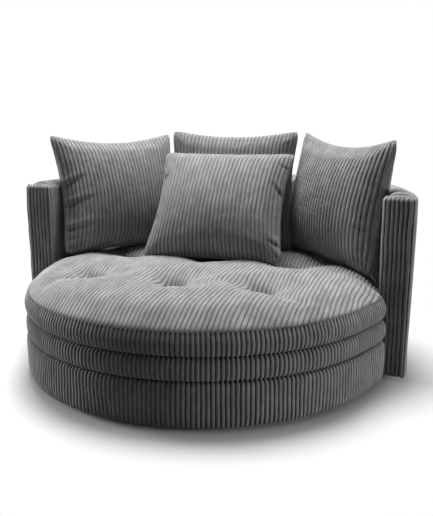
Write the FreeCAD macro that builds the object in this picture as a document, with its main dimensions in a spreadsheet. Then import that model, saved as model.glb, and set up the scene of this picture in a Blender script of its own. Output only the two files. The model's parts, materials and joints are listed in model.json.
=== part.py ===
import FreeCAD, Part
import math
import os
import Sketcher

os.makedirs("parts", exist_ok=True)
Vector = FreeCAD.Vector
Rotation = FreeCAD.Rotation
UP = Vector(0, 0, 1)
SIDEWAYS = Vector(1, 0, 0)
BACKWARDS = Vector(0, 1, 0)

# A round armchair: a low drum in three upholstered tiers, held by a padded wall that wraps
# the rear half, with four loose scatter cushions. Front is -Y, +Z is up and the floor is
# zero. The drum's vertical axis is the centre of every round piece.

LENGTHS = {
    # Plan and overall heights
    "drum_radius": 650,
    "drum_tuck": 21,
    "shell_thickness": 102,
    "shell_height": 640,
    "floor_gap": 12,
    "base_tier_top": 150,
    "deck_tier_top": 222,
    "tier_corner": 18,
    "tuck_gap": 1,
    # Layers
    "cover_thickness": 3,
    "layer_gap": 0.2,
    "seat_wadding_gap": 0.6,
    "body_gap": 0.3,
    "dust_cover_thickness": 1,
    "overrun": 5,
    "hem_width": 42,
    # Glides under both frames
    "glide_radius": 22,
    "glide_bevel": 3,
    "glide_screw_radius": 2.5,
    "glide_screw_head_radius": 5,
    "glide_screw_head_height": 4,
    "glide_screw_length": 26,
    "glide_screw_recess": 1,
    "base_glide_inset": 67,
    # Base frame
    "base_padding": 14,
    "base_hoop_thickness": 5,
    "base_bottom_ring_width": 135,
    "base_top_ring_width": 95,
    "ring_thickness": 18,
    "base_post_depth": 45,
    "base_post_width": 60,
    "post_setback": 2,
    # Springs
    "spring_rail_offset": 330,
    "spring_rail_thickness": 25,
    "spring_rail_length": 740,
    "spring_wire_radius": 1.9,
    "spring_pitch": 110,
    "spring_bar_width": 46,
    "spring_bend_radius": 12,
    "tie_wire_radius": 1.1,
    "tie_wire_length": 560,
    "tie_wire_spacing": 240,
    "clip_base_thickness": 1.2,
    "clip_length": 22,
    "clip_width": 20,
    "clip_wall_thickness": 1.2,
    "clip_wall_height": 3.4,
    # Back frame
    "back_frame_inset": 28,
    "back_board_thickness": 5,
    "back_outer_padding": 17,
    "back_bottom_rail_height": 56,
    "back_mid_rail_height": 44,
    "back_top_rail_height": 44,
    "back_top_padding": 42,
    "back_stud_width": 40,
    "back_end_pad": 28,
    "back_end_post_width": 46,
    "back_foam_rise": 2,
    "back_top_corner": 20,
    "back_top_rise": 6,
    "back_end_round": 16,
    "back_glide_radius": 16,
    # Fixings between the two frames
    "bolt_radius": 4,
    "bolt_clearance": 0.5,
    "bolt_head_radius": 8,
    "bolt_head_height": 5,
    "bolt_height": 50,
    "bolt_end_recess": 1,
    "washer_radius": 12,
    "washer_thickness": 1.6,
    "nut_barrel_radius": 6,
    "nut_barrel_length": 16,
    "nut_flange_radius": 11,
    "nut_flange_thickness": 2,
    "spacer_width": 60,
    "spacer_height": 56,
    "spacer_setback": 0.8,
    # Seat cushion
    "seam_above_deck": 78,
    "seam_inset": 24,
    "seam_rise": 38,
    "crown_shoulder_width": 176,
    "crown_shoulder_rise": 52,
    "crown_rise": 11,
    "crown_edge_round": 355,
    "crown_wadding": 41,
    "tuft_radius": 112,
    "tuft_depth": 30,
    "tuft_flare": 40,
    "tuft_pitch": 311,
    "tuft_row_pitch": 328,
    "tuft_front_row": 248,
    "tuft_shift": 20,
    "tuft_cord_radius": 1.5,
    "tuft_button_radius": 15,
    "tuft_button_thickness": 4,
    "zip_height": 34,
    # Scatter cushions
    "scatter_width": 532,
    "scatter_height": 486,
    "scatter_full_bulge": 92,
    "scatter_side_bulge": 76,
    "scatter_pressed_bulge": 44,
    "scatter_seam_width": 12,
    "scatter_zip_length": 300,
    "scatter_zip_width": 5,
    "scatter_zip_height": 7,
    "front_cushion_depth": 166,
    "front_cushion_rise": 189,
    "back_cushion_depth": 326,
    "back_cushion_shift": 7.5,
    "back_cushion_rise": 231.8,
    "left_cushion_offset": 452.5,
    "left_cushion_depth": 213,
    "left_cushion_rise": 223.6,
    "right_cushion_offset": 434,
    "right_cushion_depth": 224,
    "right_cushion_rise": 220.6,
}

ANGLES = {
    "shell_half_angle": 93.35,
    "bolt_span_angle": 120,
    "seat_zip_angle": 44,
    "front_cushion_lean_angle": 37,
    "front_cushion_turn_angle": 3,
    "back_cushion_lean_angle": 10,
    "left_cushion_lean_angle": 16,
    "left_cushion_turn_angle": 50,
    "right_cushion_lean_angle": 9,
    "right_cushion_turn_angle": 44,
    "right_cushion_tip_angle": 2,
}

COUNTS = {
    "base_glide_count": 6,
    "base_post_count": 12,
    "back_stud_count": 9,
    "back_glide_count": 5,
    "bolt_count": 5,
    "spring_count": 5,
    "spring_bar_count": 22,
    "funnel_step_count": 5,
    "back_end_post_count": 2,
    "back_foam_strip_count": 24,
    "back_wadding_strip_count": 12,
    "scatter_net_count": 9,
    "scatter_net_degree": 3,
}

SHARES = {
    "scatter_waist_share": 0.075,
    "front_cushion_dip_share": 0.03,
    "back_cushion_dip_share": 0.15,
    "left_cushion_dip_share": 0.16,
    "right_cushion_dip_share": 0.24,
    "scatter_sag_share": 0.14,
    "scatter_fullness_share": 0.62,
}

doc = FreeCAD.newDocument("Armchair")
sheet = doc.addObject("Spreadsheet::Sheet", "Sizes")


class Size:
    """A number, together with the sheet expression that gives it."""

    def __init__(self, value, text):
        self.value = value
        self.text = text

    def joined(self, other, sign, value):
        return Size(value, "(" + self.text + sign + other.text + ")")

    def __add__(self, other):
        other = as_size(other)
        return self.joined(other, " + ", self.value + other.value)

    def __sub__(self, other):
        other = as_size(other)
        return self.joined(other, " - ", self.value - other.value)

    def __mul__(self, other):
        other = as_size(other)
        return self.joined(other, " * ", self.value * other.value)

    def __truediv__(self, other):
        other = as_size(other)
        return self.joined(other, " / ", self.value / other.value)

    def __neg__(self):
        return Size(-self.value, "(0 - " + self.text + ")")

    def __rmul__(self, other):
        return as_size(other) * self


def as_size(number):
    if isinstance(number, Size):
        return number
    return Size(number, repr(number))


ZERO = Size(0, "0")
START = 1
END = 2


def fill_sheet():
    """Write each named value into its own cell, with its name as the alias."""
    named = {}
    row = 0
    for table in (LENGTHS, ANGLES, COUNTS, SHARES):
        for alias, value in table.items():
            row += 1
            sheet.set("A%d" % row, alias)
            sheet.set("B%d" % row, str(value))
            sheet.setAlias("B%d" % row, alias)
            named[alias] = Size(value, "Sizes." + alias)
    return named


class Names:
    """Gives each named size as an attribute."""

    def __init__(self, named):
        self.__dict__.update(named)


s = Names(fill_sheet())
doc.recompute()

nodes = []


def bind(obj, path, size):
    obj.setExpression(path, as_size(size).text)


def place(obj, x=ZERO, y=ZERO, z=ZERO):
    bind(obj, "Placement.Base.x", x)
    bind(obj, "Placement.Base.y", y)
    bind(obj, "Placement.Base.z", z)


def node(obj, label):
    """Mark a finished piece, whose Label names its file."""
    obj.Label = label
    nodes.append(obj)
    return obj


# Main sizes that follow from the driving ones

tucked_radius = s.drum_radius - s.drum_tuck
shell_inner = tucked_radius + s.tuck_gap
shell_radius = shell_inner + s.shell_thickness
base_frame_radius = tucked_radius - s.base_padding
base_glide_circle = base_frame_radius - s.base_glide_inset
seam_radius = s.drum_radius - s.seam_inset
seam_height = s.deck_tier_top + s.seam_above_deck
crown_flat_radius = seam_radius - s.crown_shoulder_width
crown_flat_height = seam_height + s.crown_shoulder_rise
crown_height = crown_flat_height + s.crown_rise
core_crown_height = crown_height - s.crown_wadding
back_frame_top = s.shell_height - s.back_top_padding

# The wall adds depth only at the back, so the drum's axis isn't in the middle of the plan.
axis_y = -(shell_radius - s.drum_radius) / 2


def origin_feature(body, role):
    for feature in body.Origin.OriginFeatures:
        if feature.Role == role:
            return feature
    raise ValueError("no origin feature " + role)


def new_body(name, bottom=ZERO):
    """A body whose own Z axis is the drum's axis."""
    body = doc.addObject("PartDesign::Body", name)
    place(body, ZERO, axis_y, bottom)
    return body


def turn(obj, angle):
    """Turn a body about its own Z axis."""
    bind(obj, "Placement.Rotation.Angle", angle)
    obj.setExpression("Placement.Rotation.Axis.x", "0")
    obj.setExpression("Placement.Rotation.Axis.y", "0")
    obj.setExpression("Placement.Rotation.Axis.z", "1")


def pin_point(sketch, index, corner, end=START):
    """Hold one end of a sketch edge at its named place."""
    for kind, size, axis in (("DistanceX", corner[0], -2), ("DistanceY", corner[1], -1)):
        if size is ZERO:
            sketch.addConstraint(Sketcher.Constraint("PointOnObject", index, end, axis))
        else:
            row = sketch.addConstraint(
                Sketcher.Constraint(kind, -1, START, index, end, size.value))
            bind(sketch, "Constraints[%d]" % row, size)


def arc_edge(start, end, radius):
    """A round edge that bulges out between two corners."""
    a = Vector(start[0].value, start[1].value, 0)
    b = Vector(end[0].value, end[1].value, 0)
    middle = (a + b) * 0.5
    half = (b - a).Length / 2
    across = Vector(-(b - a).y, (b - a).x, 0).normalize()
    centre = middle + across * math.sqrt(max(radius.value ** 2 - half ** 2, 0))
    circle = Part.Circle(centre, UP, radius.value)
    first = math.atan2(a.y - centre.y, a.x - centre.x)
    last = math.atan2(b.y - centre.y, b.x - centre.x)
    return Part.ArcOfCircle(circle, first, last if last > first else last + 2 * math.pi)


def draw_outline(sketch, corners, arcs):
    """Draw a closed outline, anticlockwise. arcs gives some edges a radius by number."""
    first = sketch.GeometryCount
    count = len(corners)
    for i, start in enumerate(corners):
        end = corners[(i + 1) % count]
        if i in arcs:
            edge = arc_edge(start, end, arcs[i])
        else:
            edge = Part.LineSegment(Vector(start[0].value, start[1].value, 0),
                                    Vector(end[0].value, end[1].value, 0))
        sketch.addGeometry(edge, False)
    for i in range(count):
        following = (i + 1) % count
        sketch.addConstraint(Sketcher.Constraint(
            "Coincident", first + i, END, first + following, START))
    for i, corner in enumerate(corners):
        pin_point(sketch, first + i, corner)
    for i, radius in arcs.items():
        row = sketch.addConstraint(Sketcher.Constraint("Radius", first + i, radius.value))
        bind(sketch, "Constraints[%d]" % row, radius)


def new_sketch(body, plane, outlines):
    sketch = body.newObject("Sketcher::SketchObject", body.Name + "Sketch")
    sketch.AttachmentSupport = [(origin_feature(body, plane), "")]
    sketch.MapMode = "FlatFace"
    for corners, arcs in outlines:
        draw_outline(sketch, corners, arcs)
    return sketch


def rectangle(x0, x1, y0, y1):
    return [(x0, y0), (x1, y0), (x1, y1), (x0, y1)], {}


def revolved(name, outline, angle=None):
    """A piece turned about the drum's axis, whole or centred on the back."""
    body = new_body(name)
    sketch = new_sketch(body, "YZ_Plane", [outline])
    feature = body.newObject("PartDesign::Revolution", name + "Turned")
    feature.Profile = sketch
    feature.ReferenceAxis = (sketch, ["V_Axis"])
    if angle is None:
        feature.Angle = 360
    else:
        feature.Midplane = True
        bind(feature, "Angle", angle)
    return body


def repeated(body, features, sketch, count, span=None):
    """Repeat features about the drum's axis, all round or over a span centred on the back."""
    pattern = body.newObject("PartDesign::PolarPattern", body.Name + "Pattern")
    pattern.Originals = features
    pattern.Axis = (sketch, ["V_Axis"])
    bind(pattern, "Occurrences", count)
    if span is None:
        pattern.Angle = 360
    else:
        bind(pattern, "Angle", span)
        turn(body, -span / 2)
    body.Tip = pattern
    return body


def turned_group(name, outline, axis, count, span=None):
    """Small turned pieces, each about its own axis, repeated about the drum's axis."""
    body = new_body(name)
    sketch = new_sketch(body, "YZ_Plane", [outline])
    line = Part.LineSegment(Vector(axis[0][0].value, axis[0][1].value, 0),
                            Vector(axis[1][0].value, axis[1][1].value, 0))
    index = sketch.addGeometry(line, True)
    pin_point(sketch, index, axis[0])
    pin_point(sketch, index, axis[1], END)
    feature = body.newObject("PartDesign::Revolution", name + "Turned")
    feature.Profile = sketch
    feature.ReferenceAxis = (sketch, ["Axis0"])
    feature.Angle = 360
    return repeated(body, [feature], sketch, count, span)


def block_group(name, r0, r1, width, bottom, height, count, span=None):
    """Upright blocks on a circle. Sizes are along the radius, across it and up."""
    body = new_body(name)
    sketch = new_sketch(body, "YZ_Plane", [rectangle(r0, r1, bottom, bottom + height)])
    feature = body.newObject("PartDesign::Pad", name + "Pad")
    feature.Profile = sketch
    feature.Midplane = True
    bind(feature, "Length", width)
    return repeated(body, [feature], sketch, count, span)


def padded(name, outlines, bottom, height):
    """A flat outline, or several, raised by a height."""
    body = new_body(name, bottom)
    sketch = new_sketch(body, "XY_Plane", outlines)
    feature = body.newObject("PartDesign::Pad", name + "Pad")
    feature.Profile = sketch
    bind(feature, "Length", height)
    return body


def cut(name, base, *tools):
    result = base
    for i, tool in enumerate(tools):
        step = doc.addObject("Part::Cut", name + ("Cut%d" % i))
        step.Base = result
        step.Tool = tool
        result = step
    return result


def fuse(name, *pieces):
    joined = doc.addObject("Part::MultiFuse", name)
    joined.Shapes = list(pieces)
    joined.Refine = False
    return joined


def group(name, *pieces):
    together = doc.addObject("Part::Compound", name)
    together.Links = list(pieces)
    return together


DEGREES = Size(180 / math.pi, "(180 / pi)")
HALF_TURN = Size(180, "180")
FULL_TURN = Size(360, "360")


def arc_angle(length, radius):
    """The angle that a length takes up on a circle."""
    return length / radius * DEGREES


def sagitta_radius(half_chord, rise):
    """The radius of an arc that rises by so much over half its chord."""
    return (half_chord * half_chord + rise * rise) / (rise * 2)


frame_bottom = s.floor_gap + s.cover_thickness
glide_top = frame_bottom - s.dust_cover_thickness
base_top = s.base_tier_top - s.layer_gap
base_frame_top = base_top - s.cover_thickness
base_hoop_radius = base_frame_radius + s.layer_gap + s.base_hoop_thickness
hem_radius = base_hoop_radius - s.hem_width
deck_foam_bottom = s.base_tier_top + s.cover_thickness + s.layer_gap
seat_bottom = s.deck_tier_top + s.body_gap
under_cover = s.cover_thickness + s.layer_gap
exposed_angle = (HALF_TURN - s.shell_half_angle - arc_angle(s.tuck_gap, s.drum_radius)) * 2


def tier(name, outline, skin):
    """A drum tier inside a skin: full radius where it shows, squeezed inside the wall.

    outline gives the section for an outer radius.
    """
    hidden_angle = FULL_TURN - exposed_angle + arc_angle(skin, s.drum_radius) * 2
    squeezed = ring(name + "Squeezed", tucked_radius - skin, s.drum_radius + s.overrun,
                    -s.overrun, s.shell_height, hidden_angle)
    whole = revolved(name + "Round", outline(s.drum_radius - skin))
    return cut(name, whole, squeezed)


def roll_section(inner, bottom, top, corner):
    """A roll of padding with round edges, from an inner radius out."""

    def outline(outer):
        corners = [
            (inner, bottom),
            (outer - corner, bottom),
            (outer, bottom + corner),
            (outer, top - corner),
            (outer - corner, top),
            (inner, top),
        ]
        return corners, {1: corner, 3: corner}

    return outline


def ring(name, inner, outer, bottom, top, angle=None):
    """A plain ring about the drum's axis, or a stretch of one centred on the back."""
    return revolved(name, rectangle(inner, outer, bottom, top), angle)


# Glides, dust covers and the two frames' fixings

def glide_parts(prefix, circle, radius, count, span):
    """Round plastic glides, each held up into the frame by a screw."""
    wall = s.glide_screw_head_radius + s.layer_gap
    shank = s.glide_screw_radius + s.layer_gap
    head_top = s.glide_screw_recess + s.glide_screw_head_height
    glide = [
        (circle + wall, ZERO),
        (circle + radius - s.glide_bevel, ZERO),
        (circle + radius, s.glide_bevel),
        (circle + radius, glide_top),
        (circle + shank, glide_top),
        (circle + shank, head_top),
        (circle + wall, head_top),
    ]
    screw_top = s.glide_screw_recess + s.glide_screw_length
    screw = [
        (circle, s.glide_screw_recess),
        (circle + s.glide_screw_head_radius, s.glide_screw_recess),
        (circle + s.glide_screw_head_radius, head_top),
        (circle + s.glide_screw_radius, head_top),
        (circle + s.glide_screw_radius, screw_top),
        (circle, screw_top),
    ]
    axis = ((circle, ZERO), (circle, screw_top))
    node(turned_group(prefix + "Glides", (glide, {}), axis, count, span), prefix + "_glides")
    node(turned_group(prefix + "Screws", (screw, {}), axis, count, span),
         prefix + "_glide_screws")
    hole = rectangle(circle, circle + shank, glide_top - s.overrun, screw_top + s.layer_gap)
    return turned_group(prefix + "Holes", hole, axis, count, span)


# Base frame

base_holes = glide_parts("base", base_glide_circle, s.glide_radius, s.base_glide_count, None)

node(cut("BaseDust", ring("BaseDustRing", ZERO, hem_radius - s.layer_gap, glide_top,
                          frame_bottom), base_holes), "base_dust_cover")

post_outer = base_frame_radius - s.post_setback
post_inner = post_outer - s.base_post_depth
post_bottom = frame_bottom + s.ring_thickness
post_top = base_frame_top - s.ring_thickness

node(cut("BottomRing", ring("BottomRingWhole", base_frame_radius - s.base_bottom_ring_width,
                            base_frame_radius, frame_bottom, post_bottom), base_holes),
     "base_bottom_ring")
node(ring("TopRing", base_frame_radius - s.base_top_ring_width, base_frame_radius,
          post_top, base_frame_top), "base_top_ring")

# Bolts that hold the wall against the drum, through spacers low down at the back

nut_end = shell_radius - s.cover_thickness - s.back_outer_padding - s.back_board_thickness
nut_end = nut_end - s.bolt_end_recess
hole_radius = s.bolt_radius + s.bolt_clearance
bolt_start = post_inner - s.washer_thickness
bolt_end = nut_end - s.bolt_end_recess


def bolt_axis(start, end):
    return (start, s.bolt_height), (end, s.bolt_height)


def bolt_group(name, corners, start, end):
    return turned_group(name, (corners, {}), bolt_axis(start, end), s.bolt_count,
                        s.bolt_span_angle)


def above_bolt(*corners):
    """Corners given along the bolt and out from its axis."""
    return [(x, s.bolt_height if y is ZERO else s.bolt_height + y) for x, y in corners]


head_start = bolt_start - s.bolt_head_height
mounting_bolts = bolt_group("Bolts", above_bolt(
    (head_start, ZERO),
    (bolt_end, ZERO),
    (bolt_end, s.bolt_radius),
    (bolt_start, s.bolt_radius),
    (bolt_start, s.bolt_head_radius),
    (head_start, s.bolt_head_radius),
), head_start, bolt_end)
node(mounting_bolts, "mounting_bolts")

node(bolt_group("Washers", above_bolt(
    (bolt_start, hole_radius),
    (post_inner, hole_radius),
    (post_inner, s.washer_radius),
    (bolt_start, s.washer_radius),
), bolt_start, post_inner), "mounting_washers")

bolt_holes = bolt_group("BoltHoles", above_bolt(
    (bolt_start, ZERO),
    (nut_end, ZERO),
    (nut_end, hole_radius),
    (bolt_start, hole_radius),
), bolt_start, nut_end)


def nut_section(clearance, bore):
    barrel_start = nut_end - s.nut_barrel_length - clearance
    flange_start = nut_end - s.nut_flange_thickness - clearance
    return above_bolt(
        (barrel_start, bore),
        (nut_end + clearance, bore),
        (nut_end + clearance, s.nut_flange_radius + clearance),
        (flange_start, s.nut_flange_radius + clearance),
        (flange_start, s.nut_barrel_radius + clearance),
        (barrel_start, s.nut_barrel_radius + clearance),
    )


node(bolt_group("Nuts", nut_section(ZERO, s.bolt_radius + s.layer_gap), bolt_start, nut_end),
     "mounting_t_nuts")
nut_pockets = bolt_group("NutPockets", nut_section(s.layer_gap, ZERO), bolt_start, nut_end)

base_posts = block_group("Posts", post_inner, post_outer, s.base_post_width, post_bottom,
                         post_top - post_bottom, s.base_post_count)
node(cut("DrilledPosts", base_posts, bolt_holes), "base_posts")
node(cut("Hoop", ring("HoopWhole", base_frame_radius + s.layer_gap, base_hoop_radius,
                      frame_bottom, base_frame_top), bolt_holes), "base_hoop")

# Sinuous springs between two rails across the drum

tie_height = base_frame_top - s.tie_wire_radius
spring_height = tie_height - s.tie_wire_radius - s.spring_wire_radius - s.layer_gap
rail_top = spring_height - s.spring_wire_radius - s.layer_gap - s.clip_base_thickness
rail_half = s.spring_rail_length / 2
node(padded("SpringRails", [
    rectangle(-rail_half, rail_half, side * s.spring_rail_offset - s.spring_rail_thickness / 2,
              side * s.spring_rail_offset + s.spring_rail_thickness / 2)
    for side in (-1, 1)
], post_bottom, rail_top - post_bottom), "spring_rails")


def clip_section(side):
    """A steel clip: a plate with a lip each side of the spring's end bar."""
    middle = side * s.spring_rail_offset
    slot = s.spring_wire_radius + s.layer_gap
    lip = slot + s.clip_wall_thickness
    plate_top = rail_top + s.clip_base_thickness
    lip_top = plate_top + s.clip_wall_height
    half = s.clip_length / 2
    corners = [
        (middle - half, rail_top),
        (middle + half, rail_top),
        (middle + half, plate_top),
        (middle + lip, plate_top),
        (middle + lip, lip_top),
        (middle + slot, lip_top),
        (middle + slot, plate_top),
        (middle - slot, plate_top),
        (middle - slot, lip_top),
        (middle - lip, lip_top),
        (middle - lip, plate_top),
        (middle - half, plate_top),
    ]
    return corners, {}


spring_row = s.spring_pitch * (s.spring_count - 1)


def spring_clips():
    body = new_body("Clips")
    bind(body, "Placement.Base.x", -spring_row / 2)
    sketch = new_sketch(body, "YZ_Plane", [clip_section(-1), clip_section(1)])
    clip = body.newObject("PartDesign::Pad", "ClipPad")
    clip.Profile = sketch
    clip.Midplane = True
    bind(clip, "Length", s.clip_width)
    row = body.newObject("PartDesign::LinearPattern", "ClipRow")
    row.Originals = [clip]
    row.Direction = (sketch, ["N_Axis"])
    bind(row, "Length", spring_row)
    bind(row, "Occurrences", s.spring_count)
    body.Tip = row
    return body


node(spring_clips(), "spring_clips")


def filleted_wire(points, radius):
    """A path of straight runs joined by tangent arcs."""
    edges = []
    start = points[0]
    for before, corner, after in zip(points, points[1:], points[2:]):
        arrive = corner + (before - corner).normalize() * radius
        leave = corner + (after - corner).normalize() * radius
        inward = ((before - corner).normalize() + (after - corner).normalize()).normalize()
        middle = corner + inward * radius * (math.sqrt(2) - 1)
        edges.append(Part.LineSegment(start, arrive).toShape())
        edges.append(Part.Arc(arrive, middle, leave).toShape())
        start = leave
    edges.append(Part.LineSegment(start, points[-1]).toShape())
    return Part.Wire(edges)


def sinuous_spring():
    """One zigzag spring, lying flat from the front rail to the back rail."""
    bars = int(s.spring_bar_count.value)
    step = 2 * s.spring_rail_offset.value / bars
    half = s.spring_bar_width.value / 2
    points = []
    for i in range(bars + 1):
        y = i * step - s.spring_rail_offset.value
        side = -half if i % 2 == 0 else half
        points.append(Vector(side, y, 0))
        points.append(Vector(-side, y, 0))
    path = filleted_wire(points, s.spring_bend_radius.value)
    circle = Part.Circle(points[0], SIDEWAYS, s.spring_wire_radius.value)
    return path.makePipeShell([Part.Wire(circle.toShape())], True, False)


def spring_set():
    wire = sinuous_spring()
    springs = []
    for i in range(int(s.spring_count.value)):
        spring = wire.copy()
        spring.translate(Vector(i * s.spring_pitch.value - spring_row.value / 2, 0, 0))
        springs.append(spring)
    feature = doc.addObject("Part::Feature", "Springs")
    feature.Shape = Part.makeCompound(springs)
    place(feature, ZERO, axis_y, spring_height)
    return feature


node(spring_set(), "sinuous_springs")


def tie_wire(side):
    wire = doc.addObject("Part::Cylinder", "TieWire")
    bind(wire, "Radius", s.tie_wire_radius)
    bind(wire, "Height", s.tie_wire_length)
    wire.Placement.Rotation = Rotation(BACKWARDS, 90)
    place(wire, -s.tie_wire_length / 2, axis_y + side * s.tie_wire_spacing / 2, tie_height)
    return wire


node(group("TieWires", tie_wire(-1), tie_wire(1)), "spring_tie_wires")
node(ring("Felt", ZERO, hem_radius - s.layer_gap, base_frame_top,
          deck_foam_bottom - s.layer_gap), "spring_felt_pad")

# Base and deck upholstery

base_outside = tier("BaseOutside", roll_section(hem_radius, s.floor_gap, base_top,
                                                s.tier_corner), ZERO)
base_inside = tier("BaseInside", roll_section(hem_radius - s.overrun, frame_bottom,
                                              base_frame_top, s.tier_corner -
                                              s.cover_thickness), s.cover_thickness)
node(cut("BaseCover", base_outside, base_inside, bolt_holes), "base_cover")
base_wrap = tier("BaseWrap", roll_section(hem_radius, frame_bottom + s.layer_gap,
                                          base_frame_top - s.layer_gap,
                                          s.tier_corner - under_cover), under_cover)
within_hoop = ring("WithinHoop", ZERO, base_hoop_radius + s.layer_gap * 2, ZERO,
                   s.base_tier_top)
node(cut("DrilledWrap", base_wrap, within_hoop, bolt_holes), "base_foam_wrap")

deck_outside = tier("DeckOutside", roll_section(ZERO, s.base_tier_top, s.deck_tier_top,
                                                s.tier_corner), ZERO)
deck_inside = tier("DeckInside", roll_section(ZERO, s.base_tier_top + s.cover_thickness,
                                              s.deck_tier_top - s.cover_thickness,
                                              s.tier_corner - s.cover_thickness),
                   s.cover_thickness)
deck_slot = ring("DeckSlot", ZERO, hem_radius, s.base_tier_top - s.overrun,
                 s.base_tier_top + s.cover_thickness + s.overrun)
node(cut("DeckCover", deck_outside, deck_inside, deck_slot), "deck_cover")
node(tier("DeckFoam", roll_section(ZERO, deck_foam_bottom,
                                   s.deck_tier_top - under_cover,
                                   s.tier_corner - under_cover), under_cover), "deck_foam")

# Seat cushion

boxing_top = seam_height - s.seam_rise


def cushion_section(skin):
    """The seat cushion: rolled boxing, a seam all round and a crowned top."""

    def outline(outer):
        corner = s.tier_corner - skin
        inset = outer - (seam_radius - skin)
        boxing_radius = sagitta_radius(s.seam_rise - skin, inset)
        corners = [
            (ZERO, seat_bottom + skin),
            (outer - corner, seat_bottom + skin),
            (outer, seat_bottom + s.tier_corner),
            (outer, boxing_top),
            (seam_radius - skin, seam_height - skin),
            (crown_flat_radius, crown_flat_height - skin),
            (ZERO, crown_height - skin),
        ]
        return corners, {
            1: corner,
            3: boxing_radius,
            4: s.crown_edge_round,
            5: sagitta_radius(crown_flat_radius, s.crown_rise),
        }

    return outline


def core_section(outer):
    """The foam core, with a plain domed top."""
    corner = s.tier_corner - under_cover
    bottom = seat_bottom + under_cover
    corners = [
        (ZERO, bottom),
        (outer - corner, bottom),
        (outer, bottom + corner),
        (outer, boxing_top),
        (ZERO, core_crown_height),
    ]
    rise = core_crown_height - boxing_top
    return corners, {1: corner, 3: sagitta_radius(outer, rise)}


def below_wadding(outer):
    """What lies under the wadding: the core's dome, carried out past the side."""
    bottom = seat_bottom - s.overrun
    ledge = boxing_top + s.layer_gap
    rise = core_crown_height - boxing_top
    corners = [
        (ZERO, bottom),
        (outer + s.overrun, bottom),
        (outer + s.overrun, ledge),
        (outer, ledge),
        (ZERO, core_crown_height + s.layer_gap),
    ]
    return corners, {3: sagitta_radius(outer, rise)}


def tuft_places():
    """The middle of each tuft, from the drum's axis: two rows of three."""
    places = []
    for row in (0, 1):
        for column in (-1, 0, 1):
            x = column * s.tuft_pitch - s.tuft_shift
            y = row * s.tuft_row_pitch - s.tuft_front_row
            rim = crown_height - s.crown_rise * (x * x + y * y) / (
                crown_flat_radius * crown_flat_radius)
            places.append((x, y, rim))
    return places


def tuft_hollows(name, skin):
    """Funnels that the tufting pulls into a layer, steeper towards the middle."""
    rings = int(s.funnel_step_count.value)
    slope = [
        (s.tuft_radius * i / rings, -s.tuft_depth * (rings - i) * (rings - i) / (rings * rings))
        for i in range(1, rings)
    ]
    corners = [(ZERO, -s.tuft_depth)] + slope + [
        (s.tuft_radius, ZERO),
        (s.tuft_radius + s.tuft_flare, s.crown_rise),
        (ZERO, s.crown_rise),
    ]
    funnels = []
    for i, (x, y, rim) in enumerate(tuft_places()):
        funnel = revolved(name + str(i), (corners, {}))
        place(funnel, x, axis_y + y, rim - skin)
        funnels.append(funnel)
    return fuse(name, *funnels)


def tuft_rods(name, radius, bottom, height):
    """Upright rods or discs under the tufts, each with a height of its own."""
    rods = []
    for i, (x, y, rim) in enumerate(tuft_places()):
        rod = doc.addObject("Part::Cylinder", name + str(i))
        bind(rod, "Radius", radius)
        bind(rod, "Height", height(rim))
        place(rod, x, axis_y + y, bottom)
        rods.append(rod)
    return group(name, *rods)


core_bottom = seat_bottom + under_cover
button_top = core_bottom + s.tuft_button_thickness


def cord_height(rim):
    return rim - s.tuft_depth - under_cover - button_top - s.layer_gap


def through_height(rim):
    return rim - core_bottom


def button_height(_rim):
    return s.tuft_button_thickness


def pocket_height(_rim):
    return s.tuft_button_thickness + s.layer_gap + s.overrun


cord_bores = tuft_rods("CordBores", s.tuft_cord_radius + s.layer_gap, core_bottom,
                       through_height)
button_pockets = tuft_rods("ButtonPockets", s.tuft_button_radius + s.layer_gap,
                           core_bottom - s.overrun, pocket_height)
node(tuft_rods("TuftCords", s.tuft_cord_radius, button_top, cord_height), "seat_tuft_cords")
node(tuft_rods("TuftButtons", s.tuft_button_radius, core_bottom, button_height),
     "seat_tuft_buttons")

zip_middle = (seat_bottom + s.tier_corner + boxing_top) / 2
zip_outer = tucked_radius


def zip_sector(name, clearance):
    """A strip set into the cushion's boxing at the back."""
    half = s.zip_height / 2 + clearance
    return ring(name, zip_outer - s.cover_thickness - clearance, zip_outer + clearance,
                zip_middle - half, zip_middle + half,
                s.seat_zip_angle + arc_angle(clearance, zip_outer) * 2)


seat_outside = tier("SeatOutside", cushion_section(ZERO), ZERO)
seat_inside = tier("SeatInside", cushion_section(s.cover_thickness), s.cover_thickness)
wadding_skin = s.cover_thickness + s.seat_wadding_gap
seat_stuffing = tier("SeatStuffing", cushion_section(wadding_skin), wadding_skin)
seat_core = tier("SeatCore", core_section, under_cover)
seat_core_space = tier("SeatCoreSpace", below_wadding, under_cover)
node(cut("SeatCover", cut("SeatOuter", seat_outside, tuft_hollows("TuftsOutside", ZERO)),
         cut("SeatInner", seat_inside, tuft_hollows("TuftsInside", s.cover_thickness)),
         zip_sector("ZipSlot", s.layer_gap)), "seat_cushion_cover")
node(cut("SeatWadding", seat_stuffing, tuft_hollows("TuftsWadding", wadding_skin),
         seat_core_space, cord_bores), "seat_cushion_wadding")
node(cut("SeatFoam", seat_core, cord_bores, button_pockets), "seat_cushion_foam")
node(zip_sector("SeatZip", ZERO), "seat_cushion_zip")

# Wall that wraps the back

board_inner = shell_inner + s.back_frame_inset
board_outer = shell_radius - s.cover_thickness - s.back_outer_padding
rail_inner = board_inner + s.back_board_thickness + s.layer_gap
rail_outer = board_outer - s.back_board_thickness - s.layer_gap
frame_half_angle = s.shell_half_angle - arc_angle(s.cover_thickness + s.back_end_pad,
                                                  shell_inner)
post_angle = arc_angle(s.back_end_post_width + s.layer_gap * 2, rail_inner)
rail_half_angle = frame_half_angle - post_angle
frame_angle = frame_half_angle * 2
rail_angle = rail_half_angle * 2


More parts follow.
